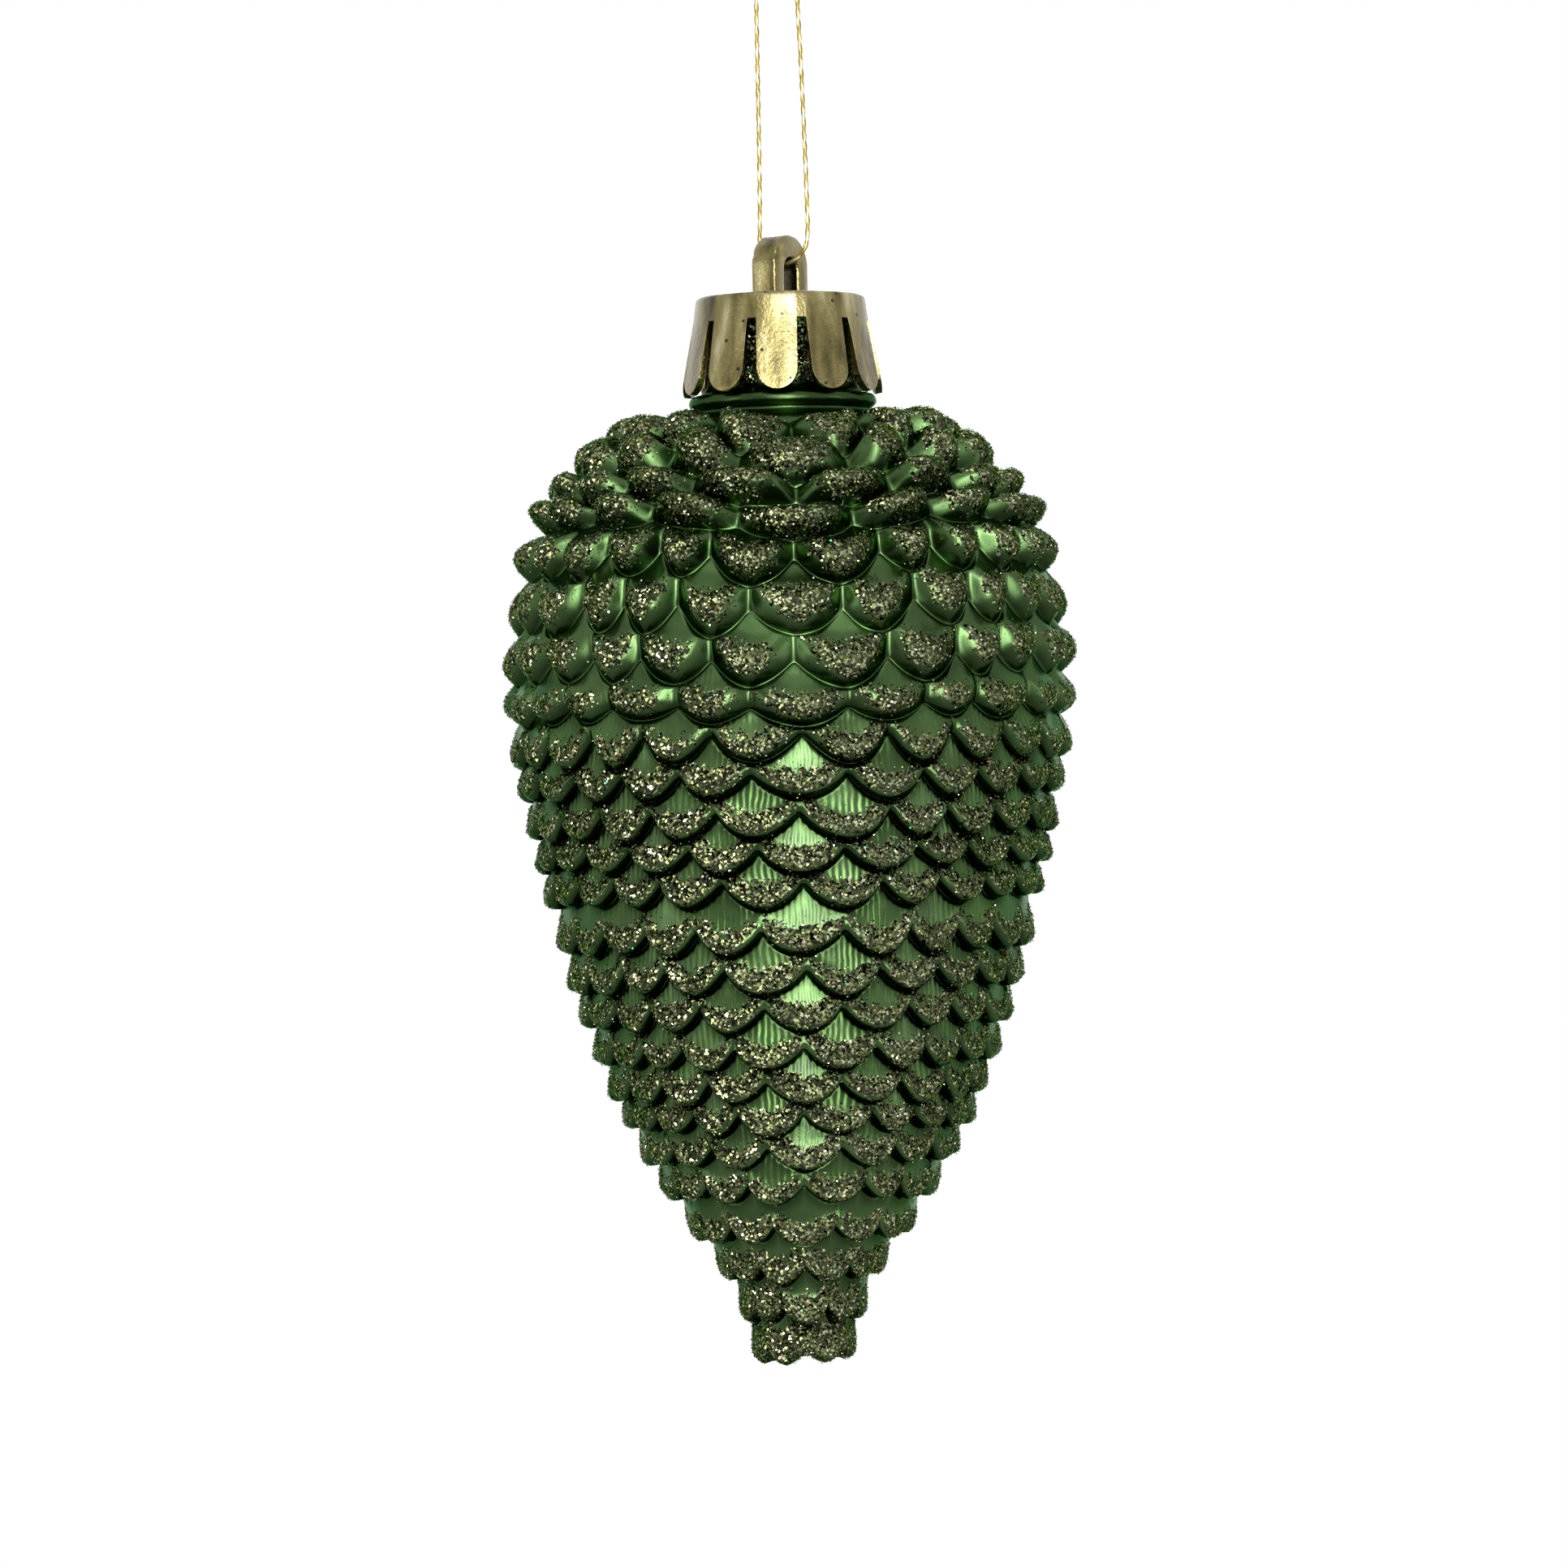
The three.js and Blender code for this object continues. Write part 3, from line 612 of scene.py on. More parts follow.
def make_plug():
    """The ring under the disc that holds the cap in the neck."""
    inside = PLUG_RADIUS - PLUG_WALL
    top = CAP_TOP - PETAL_THICKNESS * PLUG_SINK
    bottom = CAP_TOP - CAP_THICKNESS - PLUG_LENGTH
    profile = [
        (PLUG_RADIUS, top), (PLUG_RADIUS, bottom + PLUG_CHAMFER),
        (PLUG_RADIUS - PLUG_CHAMFER, bottom), (inside + PLUG_CHAMFER / 2, bottom),
        (inside, bottom + PLUG_CHAMFER / 2), (inside, top),
    ]
    bearings = [360 * i / PLUG_COLUMNS for i in range(PLUG_COLUMNS)]
    points = [place_at(bearing, *corner) for corner in profile for bearing in bearings]
    # The last ring is followed by the first again
    faces = ring_faces(len(profile) + 1, PLUG_COLUMNS) % len(points)
    return make_outward(make_piece("plug", points, [faces]))


def make_eyelet():
    """A bar with rounded edges, bent up, over and down round the hole."""
    half = EYELET_WIDTH / 2
    hole_half = EYELET_HOLE_WIDTH / 2
    hole_straight = EYELET_HOLE_HEIGHT - hole_half
    legs = []
    for height in EYELET_LEG_HEIGHTS:
        inner_height = min(height, hole_straight - EYELET_LEAST_STEP)
        legs.append((half, height, hole_half, inner_height))
    course = list(legs)
    for i in range(EYELET_ARC_STEPS + 1):
        angle = math.pi * i / EYELET_ARC_STEPS
        outer_height = EYELET_SHOULDER + (EYELET_HEIGHT - EYELET_SHOULDER) * math.sin(angle)
        inner_height = hole_straight + hole_half * math.sin(angle)
        x = math.cos(angle)
        course.append((half * x, outer_height, hole_half * x, inner_height))
    course += [(-ox, oz, -ix, iz) for ox, oz, ix, iz in reversed(legs)]
    axis = direction_at(EYELET_BEARING - 90)
    flat_thick = EYELET_THICKNESS / 2 - EYELET_ROUND
    mark_height, mark_half, mark_depth = EYELET_MARK
    points = []
    for ox, oz, ix, iz in course:
        out = Vector((ox - ix, oz - iz))
        flat_wide = out.length / 2 - EYELET_ROUND
        out.normalize()
        middle = Vector(((ox + ix) / 2, (oz + iz) / 2))
        dent = mark_depth if abs(oz - mark_height) < mark_half and ox < 0 else 0
        for sign_out, sign_axis in ((1, 1), (-1, 1), (-1, -1), (1, -1)):
            for angle in QUARTER if sign_out * sign_axis > 0 else reversed(QUARTER):
                across = sign_out * (flat_wide + EYELET_ROUND * math.cos(angle))
                if sign_out > 0:
                    across -= dent
                depth = sign_axis * (flat_thick + EYELET_ROUND * math.sin(angle))
                flat = middle + out * across
                points.append(place_at(EYELET_BEARING, flat.x, flat.y + CAP_TOP) + axis * depth)
    sides = 4 * len(QUARTER)
    around = np.arange(sides)[None, :]
    ends = [around[:, ::-1], around + len(points) - sides]
    faces = ring_faces(len(course), sides)
    return make_outward(make_piece("eyelet", points, [faces, *ends]))


def make_cap():
    cap = make_skirt()
    others = [make_plug(), make_eyelet()]
    for other in others:
        add_modifier(cap, "BOOLEAN", operation="UNION", solver="EXACT", object=other)
    apply_modifiers(cap)
    for other in others:
        bpy.data.objects.remove(other)
    mesh = cap.data
    cap.name = mesh.name = "crown_cap_moulded"
    # Smooth faces, with sharper edges kept crisp
    mesh.polygons.foreach_set("use_smooth", np.ones(len(mesh.polygons), dtype=bool))
    mesh.set_sharp_from_angle(angle=math.radians(CAP_SHARP_ANGLE))
    return cap


# Cone body: rings of points round the axis, from the bore up over the mouth and down to the tip
class Outline:
    """The cone's outline by the distance along it from the tip, with its outward normal."""

    def __init__(self):
        points = np.array(CONE_OUTLINE) * (CONE_RADIUS, CONE_LENGTH)
        count = len(points)
        t = np.linspace(0, 1, OUTLINE_SAMPLES, endpoint=False)[:, None]
        curve = []
        for i in range(count - 1):
            p0, p1 = points[max(i - 1, 0)], points[i]
            p2, p3 = points[i + 1], points[min(i + 2, count - 1)]
            v0, v1 = (p2 - p0) / 2, (p3 - p1) / 2
            cubic = (2 * p1 - 2 * p2 + v0 + v1) * t**3
            curve.append(cubic + (3 * p2 - 3 * p1 - 2 * v0 - v1) * t**2 + v0 * t + p1)
        self.curve = np.concatenate([*curve, points[-1:]])
        steps = np.linalg.norm(np.diff(self.curve, axis=0), axis=1)
        self.distance = np.concatenate([[0], np.cumsum(steps)])
        self.length = self.distance[-1]
        tangent = np.gradient(self.curve, self.distance, axis=0)
        tangent /= np.linalg.norm(tangent, axis=1)[:, None]
        self.normal = np.stack([tangent[:, 1], -tangent[:, 0]], -1)

    def radius(self, distance):
        return float(np.interp(distance, self.distance, self.curve[:, 0]))

    def point(self, distance, rise):
        """Radius and height at a distance along the outline, raised along its normal."""
        columns = (*self.curve.T, *self.normal.T)
        x, z, out, up = [np.interp(distance, self.distance, column) for column in columns]
        return x + out * rise, z + up * rise


def wide_at(bearings):
    """How much a place belongs to the wide front or back, from 0 to 1."""
    away = (bearings - SCALE_BEARING) % 360
    from_front = np.minimum(away, 360 - away) / WIDE_HALF_ANGLE
    from_back = np.abs(away - 180) / WIDE_HALF_ANGLE
    return np.exp(-from_front**4) + np.exp(-from_back**4)


def share_round(bearings):
    """Share of the way round at each bearing, counted in scales, and its steepness there."""
    turn = np.linspace(0, 360, TURN_SAMPLES)
    density = 1 - WIDE_NARROWING * wide_at(turn + SCALE_BEARING)
    share = np.concatenate([[0], np.cumsum((density[1:] + density[:-1]) / 2)])
    at = (bearings - SCALE_BEARING) % 360
    steepness = np.interp(at, turn, density) / density.mean()
    return np.interp(at, turn, share / share[-1]), steepness


class ScaleRow:
    """One row of scales: where its feet run at each bearing, and each scale's own differences."""

    def __init__(self, index, outline, above, bearings, random):
        tip_share, count = SCALE_ROWS[index]
        self.pillow = np.clip((SCALES_FROM - index) / (SCALES_FROM - PILLOW_UNTIL), 0, 1)
        self.on_shoulder = ON_SHOULDER[index] if index < len(ON_SHOULDER) else 0
        is_pillow = index < PILLOW_ROWS
        side_edge = PILLOW_SIDE_EDGE if is_pillow else SCALE_SIDE_EDGE
        height = tip_share * CONE_LENGTH
        self.front_tip = float(np.interp(height, outline.curve[:, 1], outline.distance))
        radius = outline.radius(self.front_tip)
        relief = blend(SCALE_RELIEF, PILLOW_RELIEF, self.pillow)
        self.relief = min(relief, RELIEF_LIMIT * radius)
        around = 2 * math.pi * radius
        self.arc = min(above - LIP_SLOPE - self.front_tip - side_edge, SCALE_ARC * around / count)
        self.arc *= blend(LIP_FLATNESS, 1, self.pillow)
        side_rise = SIDE_RISE * np.clip((PILLOW_ROWS - index) / SIDE_RISE_ROWS, 0, 1)
        self.tip = self.front_tip + side_rise * (1 - wide_at(bearings))
        loose = 1.0 if is_pillow else SCALES_LOOSE
        phases = random.uniform(0, 2 * math.pi, len(WANDER_TURNS))
        angles = np.radians(bearings)
        waves = sum(np.sin(angles * turns + phase) for turns, phase in zip(WANDER_TURNS, phases))
        share, steepness = share_round(bearings + WANDER * loose * waves)
        self.width = around / count / steepness
        self.flat = radius * (1 - np.cos(math.pi / count / steepness))
        turns = share * count - (0 if index % 2 else 0.5)
        scale = np.floor(turns + 0.5)
        self.across = 2 * (turns - scale)

        def per_scale(limits):
            return random.uniform(*limits, count)[scale.astype(int) % count]

        self.tip_shift = per_scale(TIP_SHIFT) * loose
        self.fullness = per_scale(FULLNESS)
        self.coat = per_scale(COAT_REACH)
        self.coat_side = per_scale(COAT_SIDE)
        self.lean = per_scale(LEAN) * loose
        self.rib_start = per_scale((0, 1))

    def foot(self):
        swing = np.abs(self.across) ** FOOT_CURVE
        return self.tip + self.arc * swing + self.tip_shift * (1 - swing)


def knob_distance(row, across, up, full_height):
    """Distance from the middle of a pillow's knob, 1 at its edge, and the knob's half height."""
    half_tall = full_height * (KNOB_HALF_HEIGHT + SHOULDER_HALF_HEIGHT * row.on_shoulder)
    middle = (DOME_CREST + KNOB_MIDDLE + SHOULDER_MIDDLE * row.on_shoulder) * full_height
    middle += KNOB_LIFT * (1 - row.on_shoulder)
    return np.hypot(across / 2 / KNOB_HALF_WIDTH, (up - middle) / half_tall), half_tall


def pillow_form(row, across, up, full_height):
    """A pillow's height, 0 in its valleys to 1 at its crest: a round knob low on a hollow face."""
    crest = DOME_CREST * full_height
    under = np.clip(up / crest, 0, 1)
    roll = np.sqrt(np.clip(1 - (1 - under) ** 2, 0, 1))
    back = np.clip((up - crest) / (full_height - crest), 0, 1)
    sides = np.clip(1 - np.abs(across) ** PILLOW_SQUARENESS, 0, 1) ** PILLOW_SIDE_FALL
    face = np.where(up < crest, roll, 1 - back) * sides
    away, _ = knob_distance(row, across, up, full_height)
    knob = np.exp(-((away / KNOB_SPREAD) ** KNOB_STEEPNESS))
    knob = knob * np.sqrt(np.clip(under * KNOB_UNDERSIDE, 0, 1))
    return blend(face, knob, KNOB_SHARE)


def scale_form(across, up, from_tip, full_height):
    """The same for a scale: a flat plate that slopes out to a thick round lip."""
    under = np.clip(up / LIP_CREST, 0, 1)
    roll = (1 - (1 - under) ** LIP_ROUNDNESS) ** (1 / LIP_ROUNDNESS)
    plate = 1 - np.clip((from_tip - LIP_CREST) / (full_height - LIP_CREST), 0, 1)
    lip = np.cos(math.pi / 2 * np.clip((up - LIP_CREST) / LIP_HEIGHT, 0, 1)) ** 2
    return roll * blend(plate, lip, LIP_SHARE) * (1 - LIP_SIDE_FALL * np.abs(across) ** 3)


def coat_depth(row, up, full_height):
    """How far inside the glitter's edge a point lies, in millimetres; negative outside."""
    across = row.across - row.coat_side * (1 - row.across**2)
    away, half_tall = knob_distance(row, across, up, full_height)
    pillow_coat = (1 - away) * half_tall + row.coat * PILLOW_COAT_SPREAD
    ends = np.sqrt(np.clip(1 - (across / BAND_END) ** 4, 0, 1))
    half_band = (BAND_HALF + BAND_HALF_SPREAD * row.coat) * ends
    scale_coat = half_band - np.abs(up - BAND_MIDDLE - BAND_MIDDLE_SPREAD * row.coat)
    scale_coat = scale_coat + TIP_BAND_GROWTH * max(0, TIP_BAND_FROM - row.front_tip)
    return blend(scale_coat, pillow_coat, row.pillow)


def row_shade(row, up, below_lip):
    """Share of its colour that the green keeps, with shade painted on under the lip above and on
    the rim.
    """
    shade = blend(UNDER_LIP_SHADE, 1, smooth_share(below_lip / UNDER_LIP_REACH))
    off_rim = smooth_share((up - RIM_START) / (RIM_REACH + row.pillow))
    off_rim = np.maximum(off_rim, row.pillow * (1 - smooth_share(up / RIM_CREASE)))
    return blend(shade, 1, row.pillow) * blend(RIM_SHADE, 1, off_rim)


def make_cone():
    """The cone, and the points and coat of its outside for the flakes."""
    random = np.random.default_rng(SEED)
    outline = Outline()
    bearings = np.arange(COLUMNS) * 360 / COLUMNS
    face_steps = 0.5 - 0.5 * np.cos(np.pi * np.linspace(0, 1, FACE_STEPS))
    rings = []
    values = {"coat": [], "shade": [], "rib": [], "plate": [], "soft": []}

    def add_ring(radius, height, coat, shade=1.0, rib=0.0, plate=0.0, soft=0.0):
        rings.append(np.stack(np.broadcast_arrays(radius, height, bearings)[:2], -1))
        for kept, value in zip(values.values(), (coat, shade, rib, plate, soft)):
            kept.append(np.broadcast_to(value, COLUMNS))

    # Hollow, from its lowest point up to the mouth
    inner_start = 2 * (SCALE_RELIEF + SHELL_WALL)
    inner_end = outline.length - 2 * (PILLOW_RELIEF + SHELL_WALL)
    for share in np.linspace(0, 1, HOLLOW_RINGS):
        wall = blend(SCALE_RELIEF, PILLOW_RELIEF, share) + SHELL_WALL
        add_ring(*outline.point(blend(inner_start, inner_end, share), -wall), BARE)
    first_height = rings[0][0, 1] - SHELL_WALL / 2
    for height in NECK_BORE_HEIGHTS:
        add_ring(NECK_BORE, height, BARE)
    neck_start = len(rings)
    coat_from, coat_to = NECK_COAT_HEIGHTS
    # The neck's green is darkened here as painted shade
    for radius, height in NECK_PROFILE:
        add_ring(radius, height, NECK_COAT if coat_from < height < coat_to else BARE, NECK_SHADE)
    outer_start = len(rings)

    rows = []
    above = outline.length
    for index in range(len(SCALE_ROWS)):
        rows.append(ScaleRow(index, outline, above, bearings, random))
        above = rows[-1].front_tip
    above_foot = np.full(COLUMNS, outline.length)
    for row in rows:
        foot = row.foot()
        full_height = float(np.max(above_foot - foot))
        column_pitch = 2 * math.pi * outline.radius(row.front_tip) / COLUMNS
        slope = (np.roll(above_foot, -1) - np.roll(above_foot, 1)) / (2 * column_pitch)
        lip_lean = 1 / np.sqrt(1 + slope**2)
        leaned = np.clip(row.across + row.lean * (1 - row.across**2), -1, 1)
        rib = row.across * row.width / 2 / RIB_PITCH + row.rib_start
        ribbed = (1 - row.pillow) * smooth_share((row.front_tip - RIB_TIP) / RIB_TIP_REACH)
        # Each row's first ring is the last one of the row above
        for face_share in face_steps if row is rows[0] else face_steps[1:]:
            distance = blend(above_foot, foot, face_share)
            up = distance - foot
            below = above_foot - distance
            pillow = pillow_form(row, leaned, up, full_height)
            scale = scale_form(leaned, up, distance - row.tip, full_height)
            scale = scale * blend(FACE_START, 1, smooth_share(below / FACE_START_REACH))
            raised = blend(scale, pillow, row.pillow) * row.fullness
            chord = CHORD_SHARE * row.flat * row.across**2 * smooth_share(up / CHORD_REACH)
            chord = chord * (1 - row.pillow)
            rise = np.minimum(-row.relief * (1 - raised) + chord, HIGHEST_RISE)
            away, _ = knob_distance(row, leaned, up, full_height)
            rise = rise + SHOULDER_KNOB * row.on_shoulder * np.exp(-away**SHOULDER_STEEPNESS)
            add_ring(
                *outline.point(distance, rise), coat_depth(row, up, full_height),
                row_shade(row, up, below * lip_lean), rib,
                ribbed * smooth_share((up - RIB_FOOT) / RIB_FOOT_REACH), row.pillow,
            )
        above_foot = foot
    last_radius, last_height = rings[-1].T
    for shrink, lift in TIP_RINGS:
        add_ring(last_radius * shrink, last_height * shrink + lift, TIP_COAT)

    # Soften the pillows' valleys, and the steps between columns everywhere outside
    grid = np.stack(rings)
    soft = np.stack(values.pop("soft"))[..., None]
    for _ in range(SOFTENING):
        smoothed = grid.copy()
        beside = np.roll(grid, 1, 1)[1:-1] + np.roll(grid, -1, 1)[1:-1]
        smoothed[1:-1] = (grid[2:] + grid[:-2] + beside) / 4
        grid = blend(grid, smoothed, SOFTENING_SHARE * soft)
    radii = grid[..., 0]
    blurred = (np.roll(radii, 1, 1) + 2 * radii + np.roll(radii, -1, 1)) / 4
    radii[outer_start:] = (radii + blurred)[outer_start:] / 2
    angles = np.radians(bearings)
    heights = grid[..., 1] + CONE_TIP
    points = np.stack([radii * np.sin(angles), -radii * np.cos(angles), heights], -1)
    poles = [[0, 0, first_height + CONE_TIP], [0, 0, TIP_POLE_HEIGHT + CONE_TIP]]
    count = len(rings) * COLUMNS
    fans = np.concatenate([
        fan_faces(count, 0, COLUMNS, flip=True), fan_faces(count + 1, count - COLUMNS, COLUMNS),
    ])
    all_points = np.concatenate([points.reshape(-1, 3), poles])
    cone = make_piece("cone_glittered", all_points, [ring_faces(len(rings), COLUMNS), fans])
    for name, kept in values.items():
        set_values(cone, name, np.concatenate([np.stack(kept).ravel(), [0.0, 0.0]]))
    return cone, (points[neck_start:], np.stack(values["coat"])[neck_start:])


# Glitter flakes: closed low pyramids, point down, scattered over the coated zones
FLAKE_FACES = np.array([[0, 1, 2], [0, 2, 3], [1, 0, 4], [2, 1, 4], [3, 2, 4], [0, 3, 4]])
FLAKE_CORNERS = 5


def unit_rows(vectors):
    return vectors / np.linalg.norm(vectors, axis=1)[:, None]


def scatter_flakes(skin, counts):
    random = np.random.default_rng(SEED + 1)
    points, coat = skin
    a, b = points[:-1], points[1:]
    c, d = np.roll(b, -1, 1), np.roll(a, -1, 1)
    normal = np.cross(d - b, c - a)
    area = np.linalg.norm(normal, axis=-1) / 2
    normal = normal / (2 * area[..., None] + 1e-12)
    facing = np.where(np.sum(normal[..., :2] * a[..., :2], -1) < 0, -1, 1)
    normal = normal * facing[..., None]
    middle_coat = (coat[:-1] + coat[1:]) / 2
    stray = STRAY_CHANCE * np.clip(STRAY_REACH + middle_coat, STRAY_LEAST, 1)
    chance = np.clip(0.5 + middle_coat, 0, 1) + stray
    chance = np.where(middle_coat < BARE_BELOW, BARE_CHANCE, chance)
    weight = (area * chance).ravel()
    weight /= weight.sum()
    pieces = {}
    for kind, count in counts.items():
        i, j = np.unravel_index(random.choice(weight.size, count, p=weight), area.shape)
        s, t = random.random((2, count, 1))
        place = blend(blend(a[i, j], b[i, j], s), blend(d[i, j], c[i, j], s), t)
        up = unit_rows(normal[i, j] + random.normal(0, FLAKE_TILT, (count, 3)))
        side = unit_rows(np.cross(up, random.normal(0, 1, (count, 3))))
        size = random.uniform(*FLAKE_SIZE, (count, 1))
        other = np.cross(up, side) * size * random.uniform(*FLAKE_STRETCH, (count, 1))
        side = side * size
        place = place + normal[i, j] * random.uniform(*FLAKE_LIFT, (count, 1))
        corners = [place + side, place + other, place - side, place - other]
        corners = np.stack([*corners, place - up * FLAKE_DEPTH], 1).reshape(-1, 3)
        first = np.arange(count)[:, None, None] * FLAKE_CORNERS
        faces = (first + FLAKE_FACES).reshape(-1, 3)
        piece = make_piece(f"glitter_{kind}", corners, [faces], smooth=False)
        set_values(piece, "tone", np.repeat(random.random(count), FLAKE_CORNERS))
        pieces[kind] = piece
    return pieces


# Materials
class Tree:
    """A node tree, with short ways to add nodes; values are numbers, colours or other sockets."""

    def __init__(self, tree):
        self.nodes, self.links = tree.nodes, tree.links

    def fill(self, node, values):
        for key, value in values.items():
            socket = node.inputs[key]
            if isinstance(value, bpy.types.NodeSocket):
                self.links.new(value, socket)
            else:
                socket.default_value = (*value, 1) if socket.type == "RGBA" else value

    def add(self, kind, values=None, **settings):
        node = self.nodes.new("ShaderNode" + kind)
        for key, value in settings.items():
            setattr(node, key, value)
        self.fill(node, values or {})
        return node

    def math(self, operation, *values, clamp=False):
        node = self.add("Math", dict(enumerate(values)), operation=operation, use_clamp=clamp)
        return node.outputs[0]

    def spread(self, value, limits, clamp=False):
        """Runs a value from 0 to 1 between the limits."""
        low, high = limits
        return self.math("MULTIPLY_ADD", value, high - low, low, clamp=clamp)

    def vector(self, operation, values, output="Vector"):
        return self.add("VectorMath", values, operation=operation).outputs[output]

    def attribute(self, name):
        return self.add("Attribute", attribute_name=name).outputs["Fac"]

    def ramp(self, value, stops):
        ramp = self.add("ValToRGB", {"Fac": value})
        elements = ramp.color_ramp.elements
        while len(elements) < len(stops):
            elements.new(0.5)
        for element, (place, colour) in zip(elements, stops):
            element.position = place
            element.color = (*colour, 1)
        return ramp.outputs["Color"]

    def mix(self, share, first, second, kind="RGBA"):
        node = self.add("Mix", data_type=kind)
        self.fill(node, {"Factor": share, "A": first, "B": second})
        return node.outputs["Result"]

    def texture(self, kind, scale, **values):
        """A texture that keeps to the piece; scale is in cycles per metre."""
        place = self.add("TexCoord").outputs["Object"]
        scales = scale if isinstance(scale, tuple) else (scale,) * 3
        mapping = self.add("Mapping", {"Vector": place, "Scale": scales})
        values = {name.capitalize(): value for name, value in values.items()}
        return self.add(kind, {"Vector": mapping.outputs["Vector"], "Scale": 1, **values}).outputs

    def noise(self, scale, **values):
        return self.texture("TexNoise", scale, **values)["Fac"]

    def bump(self, height, values):
        return self.add("Bump", {"Height": height, **values}).outputs["Normal"]


def start_material(name):
    material = bpy.data.materials.new(name)
    material.use_nodes = True
    tree = Tree(material.node_tree)
    return material, tree, tree.nodes["Principled BSDF"]


def rib_height(tree):
    """Soft wavy ribs across a scale's face, -1 to 1, from the attribute that counts them."""
    wander = tree.noise(RIB_WANDER_SCALE)
    moved = tree.math("MULTIPLY_ADD", wander, RIB_WANDER, tree.attribute("rib"))
    wave = tree.math("SINE", tree.math("MULTIPLY", moved, 2 * math.pi))
    uneven = tree.spread(tree.noise(RIB_UNEVEN_SCALE), RIB_UNEVEN, clamp=True)
    return tree.math("MULTIPLY", wave, tree.math("MULTIPLY", uneven, tree.attribute("plate")))


def green_material():
    """Satin green metallic skin, with packed glitter where the coat attribute is positive."""
    material, tree, shader = start_material("green_shell_glittered")
    ragged = tree.spread(tree.noise(COAT_RAGGED_SCALE, detail=3), COAT_RAGGED)
    edge = tree.math("ADD", tree.attribute("coat"), ragged)
    mask = tree.math("MULTIPLY", edge, COAT_EDGE_STEEPNESS, clamp=True)
    cells = tree.texture("TexVoronoi", GRAINS)["Color"]
    tone = tree.add("SeparateColor", {"Color": cells}).outputs["Red"]
    green = tree.ramp(tree.noise(GREEN_SCALE, detail=4), GREEN_STOPS)
    coated = tree.mix(mask, green, tree.ramp(tone, GLITTER_STOPS))
    # Painted shade from the shade attribute: the colour turns towards the painted-shade colour and
    # the lacquer's reflection thins there
    shade = tree.attribute("shade")
    lacquer = tree.math("MULTIPLY", shade, LACQUER)
    grain = tree.noise(GRAINS)

    # Each glitter cell faces its own way; the bare skin has its ribs and a fine grain
    tilt = tree.vector("SUBTRACT", {0: cells, 1: (0.5, 0.5, 0.5)})
    tilt = tree.vector("SCALE", {0: tilt, "Scale": tree.math("MULTIPLY", mask, GLITTER_TILT)})
    normal = tree.add("NewGeometry").outputs["Normal"]
    normal = tree.vector("NORMALIZE", {0: tree.vector("ADD", {0: normal, 1: tilt})})
    normal = tree.bump(grain, {"Strength": 0.22, "Distance": 0.00004, "Normal": normal})
    ribs = {"Strength": 1.0, "Distance": RIB_DEPTH * MM, "Normal": normal}
    tree.fill(shader, {
        "Base Color": tree.mix(shade, PAINTED_SHADE_COLOUR, coated),
        "Metallic": 1.0,
        "Specular Tint": EDGE_TINT,
        "Coat Weight": tree.math("MULTIPLY", lacquer, tree.math("SUBTRACT", 1.0, mask)),
        "Coat Roughness": 0.2,
        "Roughness": tree.mix(mask, tree.spread(grain, SATIN), GLITTER_ROUGHNESS, "FLOAT"),
        "Normal": tree.bump(rib_height(tree), ribs),
    })
    return material


def flake_material(kind):
    material, tree, shader = start_material(f"flake_{kind}")
    colour = tree.ramp(tree.attribute("tone"), FLAKE_STOPS[kind])
    tree.fill(shader, {"Base Color": colour, "Metallic": 0.95, "Roughness": 0.22})
    return material


def eyelet_hole_mask(tree):
    """1 in the eyelet's hole, where shade is painted on, by the place on the cap."""
    place = tree.add("TexCoord").outputs["Object"]
    across = {0: place, 1: direction_at(EYELET_BEARING)}
    across = tree.vector("DOT_PRODUCT", across, "Value")
    height = tree.add("SeparateXYZ", {"Vector": place}).outputs["Z"]
    half = EYELET_HOLE_WIDTH / 2
    above = tree.math("SUBTRACT", height, (CAP_TOP + EYELET_HOLE_HEIGHT - half) * MM)
    above = tree.math("MAXIMUM", above, 0.0)
    squares = [tree.math("MULTIPLY", value, value) for value in (across, above)]
    distance = tree.math("SQRT", tree.math("ADD", *squares))
    within = tree.math("LESS_THAN", distance, (half + HOLE_SHADE_WALL) * MM)
    over_sill = tree.math("GREATER_THAN", height, (CAP_TOP + HOLE_SHADE_SILL) * MM)
    return tree.math("MULTIPLY", within, over_sill)


def gold_material():
    """Champagne plating on moulded plastic: fine grain, streaks whose darker ones are painted
    reflections, a few dark specks.
    """
    material, tree, shader = start_material("gold_cap_plated")
    # Streaks along the height: the darker ones are painted reflections of dark surroundings
    colour = tree.ramp(tree.noise(GOLD_SCALE, detail=5), GOLD_STOPS)
    smudge = tree.spread(tree.noise(SMUDGE_SCALE, detail=8, roughness=0.75), SMUDGES, clamp=True)
    colour = tree.mix(tree.math("MULTIPLY", smudge, SMUDGE_SHARE), colour, GOLD_SMUDGE)
    specks = tree.texture("TexVoronoi", SPECK_SCALE)["Distance"]
    speck = tree.math("LESS_THAN", specks, SPECK_SIZE)
    colour = tree.mix(speck, colour, GOLD_SPECK)
    grain = tree.noise(GOLD_GRAIN_SCALE, detail=3, roughness=0.7)
    normal = tree.bump(grain, {"Strength": 0.7, "Distance": 0.0001})
    tree.fill(shader, {
        # The eyelet's hole is painted dark as shade
        "Base Color": tree.mix(eyelet_hole_mask(tree), colour, EYELET_HOLE_SHADE),
        "Metallic": 1.0,
        "Coat Weight": 0.4,
        "Coat Roughness": 0.14,
        "Roughness": tree.spread(grain, GOLD_ROUGHNESS),
        "Normal": normal,
        "Coat Normal": normal,
    })
    return material


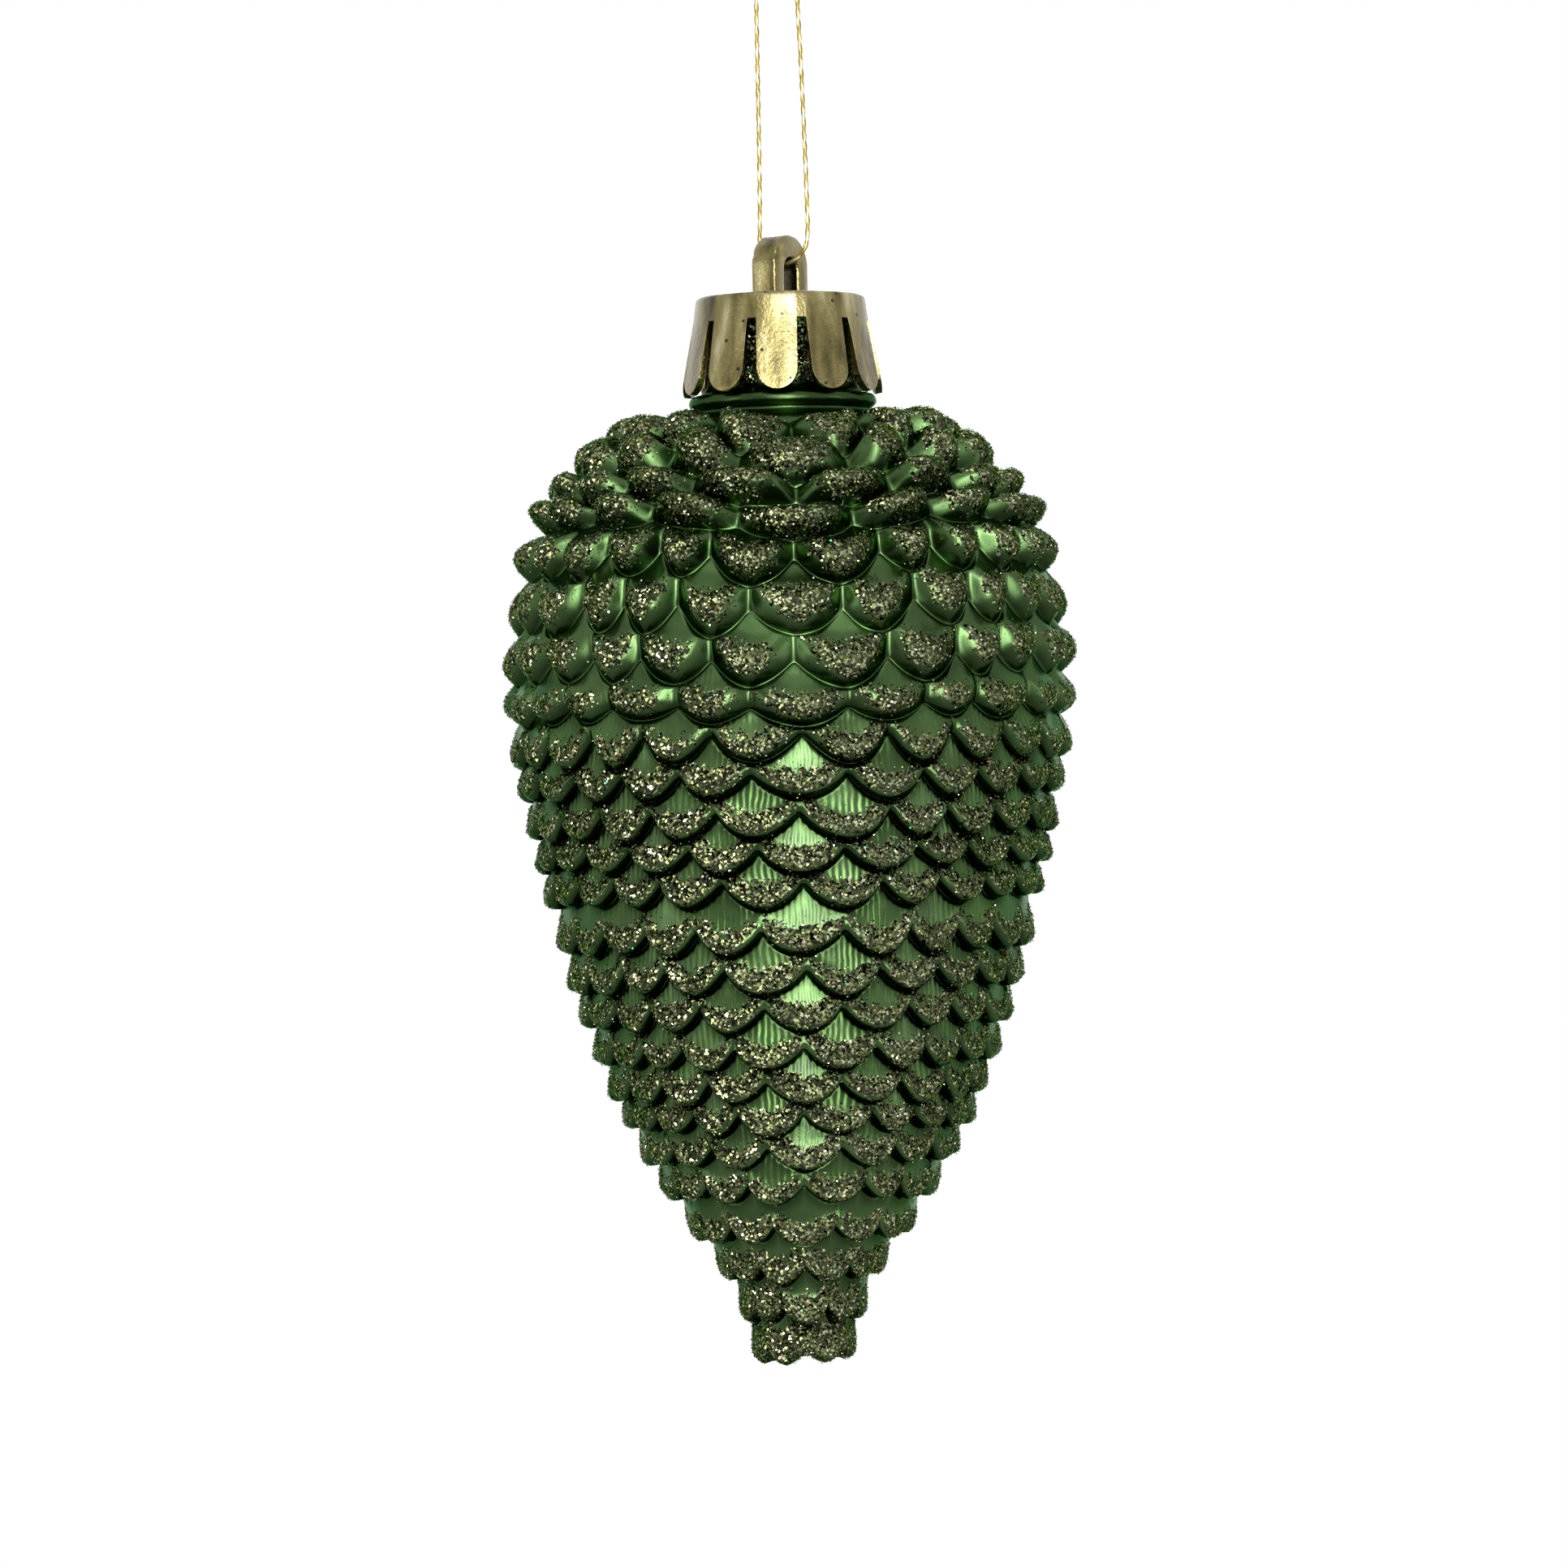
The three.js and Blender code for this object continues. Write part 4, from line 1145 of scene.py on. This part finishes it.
def thread_material():
    """Two plies of different golds, with darker fibres along them."""
    material, tree, shader = start_material("gold_thread_twisted")
    light = tree.spread(tree.noise(FIBRE_SCALE), FIBRES, clamp=True)
    colour = tree.mix(light, THREAD_DARK, tree.ramp(tree.attribute("ply"), THREAD_STOPS))
    tree.fill(shader, {"Base Color": colour, "Metallic": 0.85, "Roughness": 0.35})
    return material


def seen_directly(tree):
    """1 where a ray comes from the camera, a reflection or a view through glass."""
    path = tree.add("LightPath").outputs
    seen = tree.math("MAXIMUM", path["Is Camera Ray"], path["Is Glossy Ray"])
    return tree.math("MAXIMUM", seen, path["Is Transmission Ray"])


def floor_material():
    """Pale floor that keeps a soft shadow and otherwise looks white, in reflections too."""
    material, tree, shader = start_material("floor_pale")
    mottle = tree.add("TexNoise", {"Scale": 30}).outputs["Fac"]
    tree.fill(shader, {"Base Color": tree.ramp(mottle, FLOOR_STOPS), "Roughness": 0.9})
    glow = tree.add("Emission", {"Strength": 1.0}).outputs["Emission"]
    share = tree.math("MULTIPLY", seen_directly(tree), FLOOR_GLOW)
    mixed = tree.add("MixShader", {"Fac": share, 1: shader.outputs["BSDF"], 2: glow})
    tree.fill(tree.nodes["Material Output"], {"Surface": mixed.outputs["Shader"]})
    return material


# Stage
def make_floor():
    bpy.ops.mesh.primitive_circle_add(
        vertices=128, radius=FLOOR_RADIUS, fill_type="NGON", location=(0, 0, FLOOR_HEIGHT),
    )
    floor = bpy.context.object
    floor.name = "floor"
    floor.data.materials.append(floor_material())


def make_world():
    """White where it is seen directly or mirrored, and faint as a light on the object."""
    world = bpy.data.worlds.new("studio")
    world.use_nodes = True
    bpy.context.scene.world = world
    tree = Tree(world.node_tree)
    tree.nodes.clear()
    strength = tree.spread(seen_directly(tree), (DIFFUSE_WORLD, 1))
    background = tree.add("Background", {"Color": (1, 1, 1), "Strength": strength})
    tree.add("OutputWorld", {"Surface": background.outputs["Background"]})


def make_lamp(name, azimuth, elevation, aim, distance, size, power):
    data = bpy.data.lights.new(name, "AREA")
    data.shape = "RECTANGLE"
    data.size, data.size_y = size
    data.energy = power
    lamp = add_object(name, data)
    raised = math.radians(elevation)
    toward = place_at(azimuth, math.cos(raised), math.sin(raised))
    lamp.location = Vector((0, 0, aim)) + toward * distance
    lamp.rotation_euler = toward.to_track_quat("Z", "Y").to_euler()
    lamp.visible_camera = False


# The scene
make_camera()
make_world()
for lamp in LAMPS:
    make_lamp(*lamp)
make_floor()

thread, thread_path = make_thread()
knot = make_knot()
cord_material = thread_material()
for piece, node in ((thread, "hanging_thread"), (knot, "thread_knot")):
    piece.data.materials.append(cord_material)
    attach(piece, "thread_loop")
    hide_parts(node)

cap = make_cap()
cap.data.materials.clear()
cap.data.materials.append(gold_material())
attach(cap, "cap")
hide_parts("crown_cap")

cone, cone_skin = make_cone()
cone.data.materials.append(green_material())
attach(cone, "cone")
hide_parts("cone_shell")

for kind, flakes in scatter_flakes(cone_skin, FLAKE_COUNTS).items():
    flakes.data.materials.append(flake_material(kind))
    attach(flakes, "cone")

bpy.context.scene.view_settings.view_transform = "Standard"
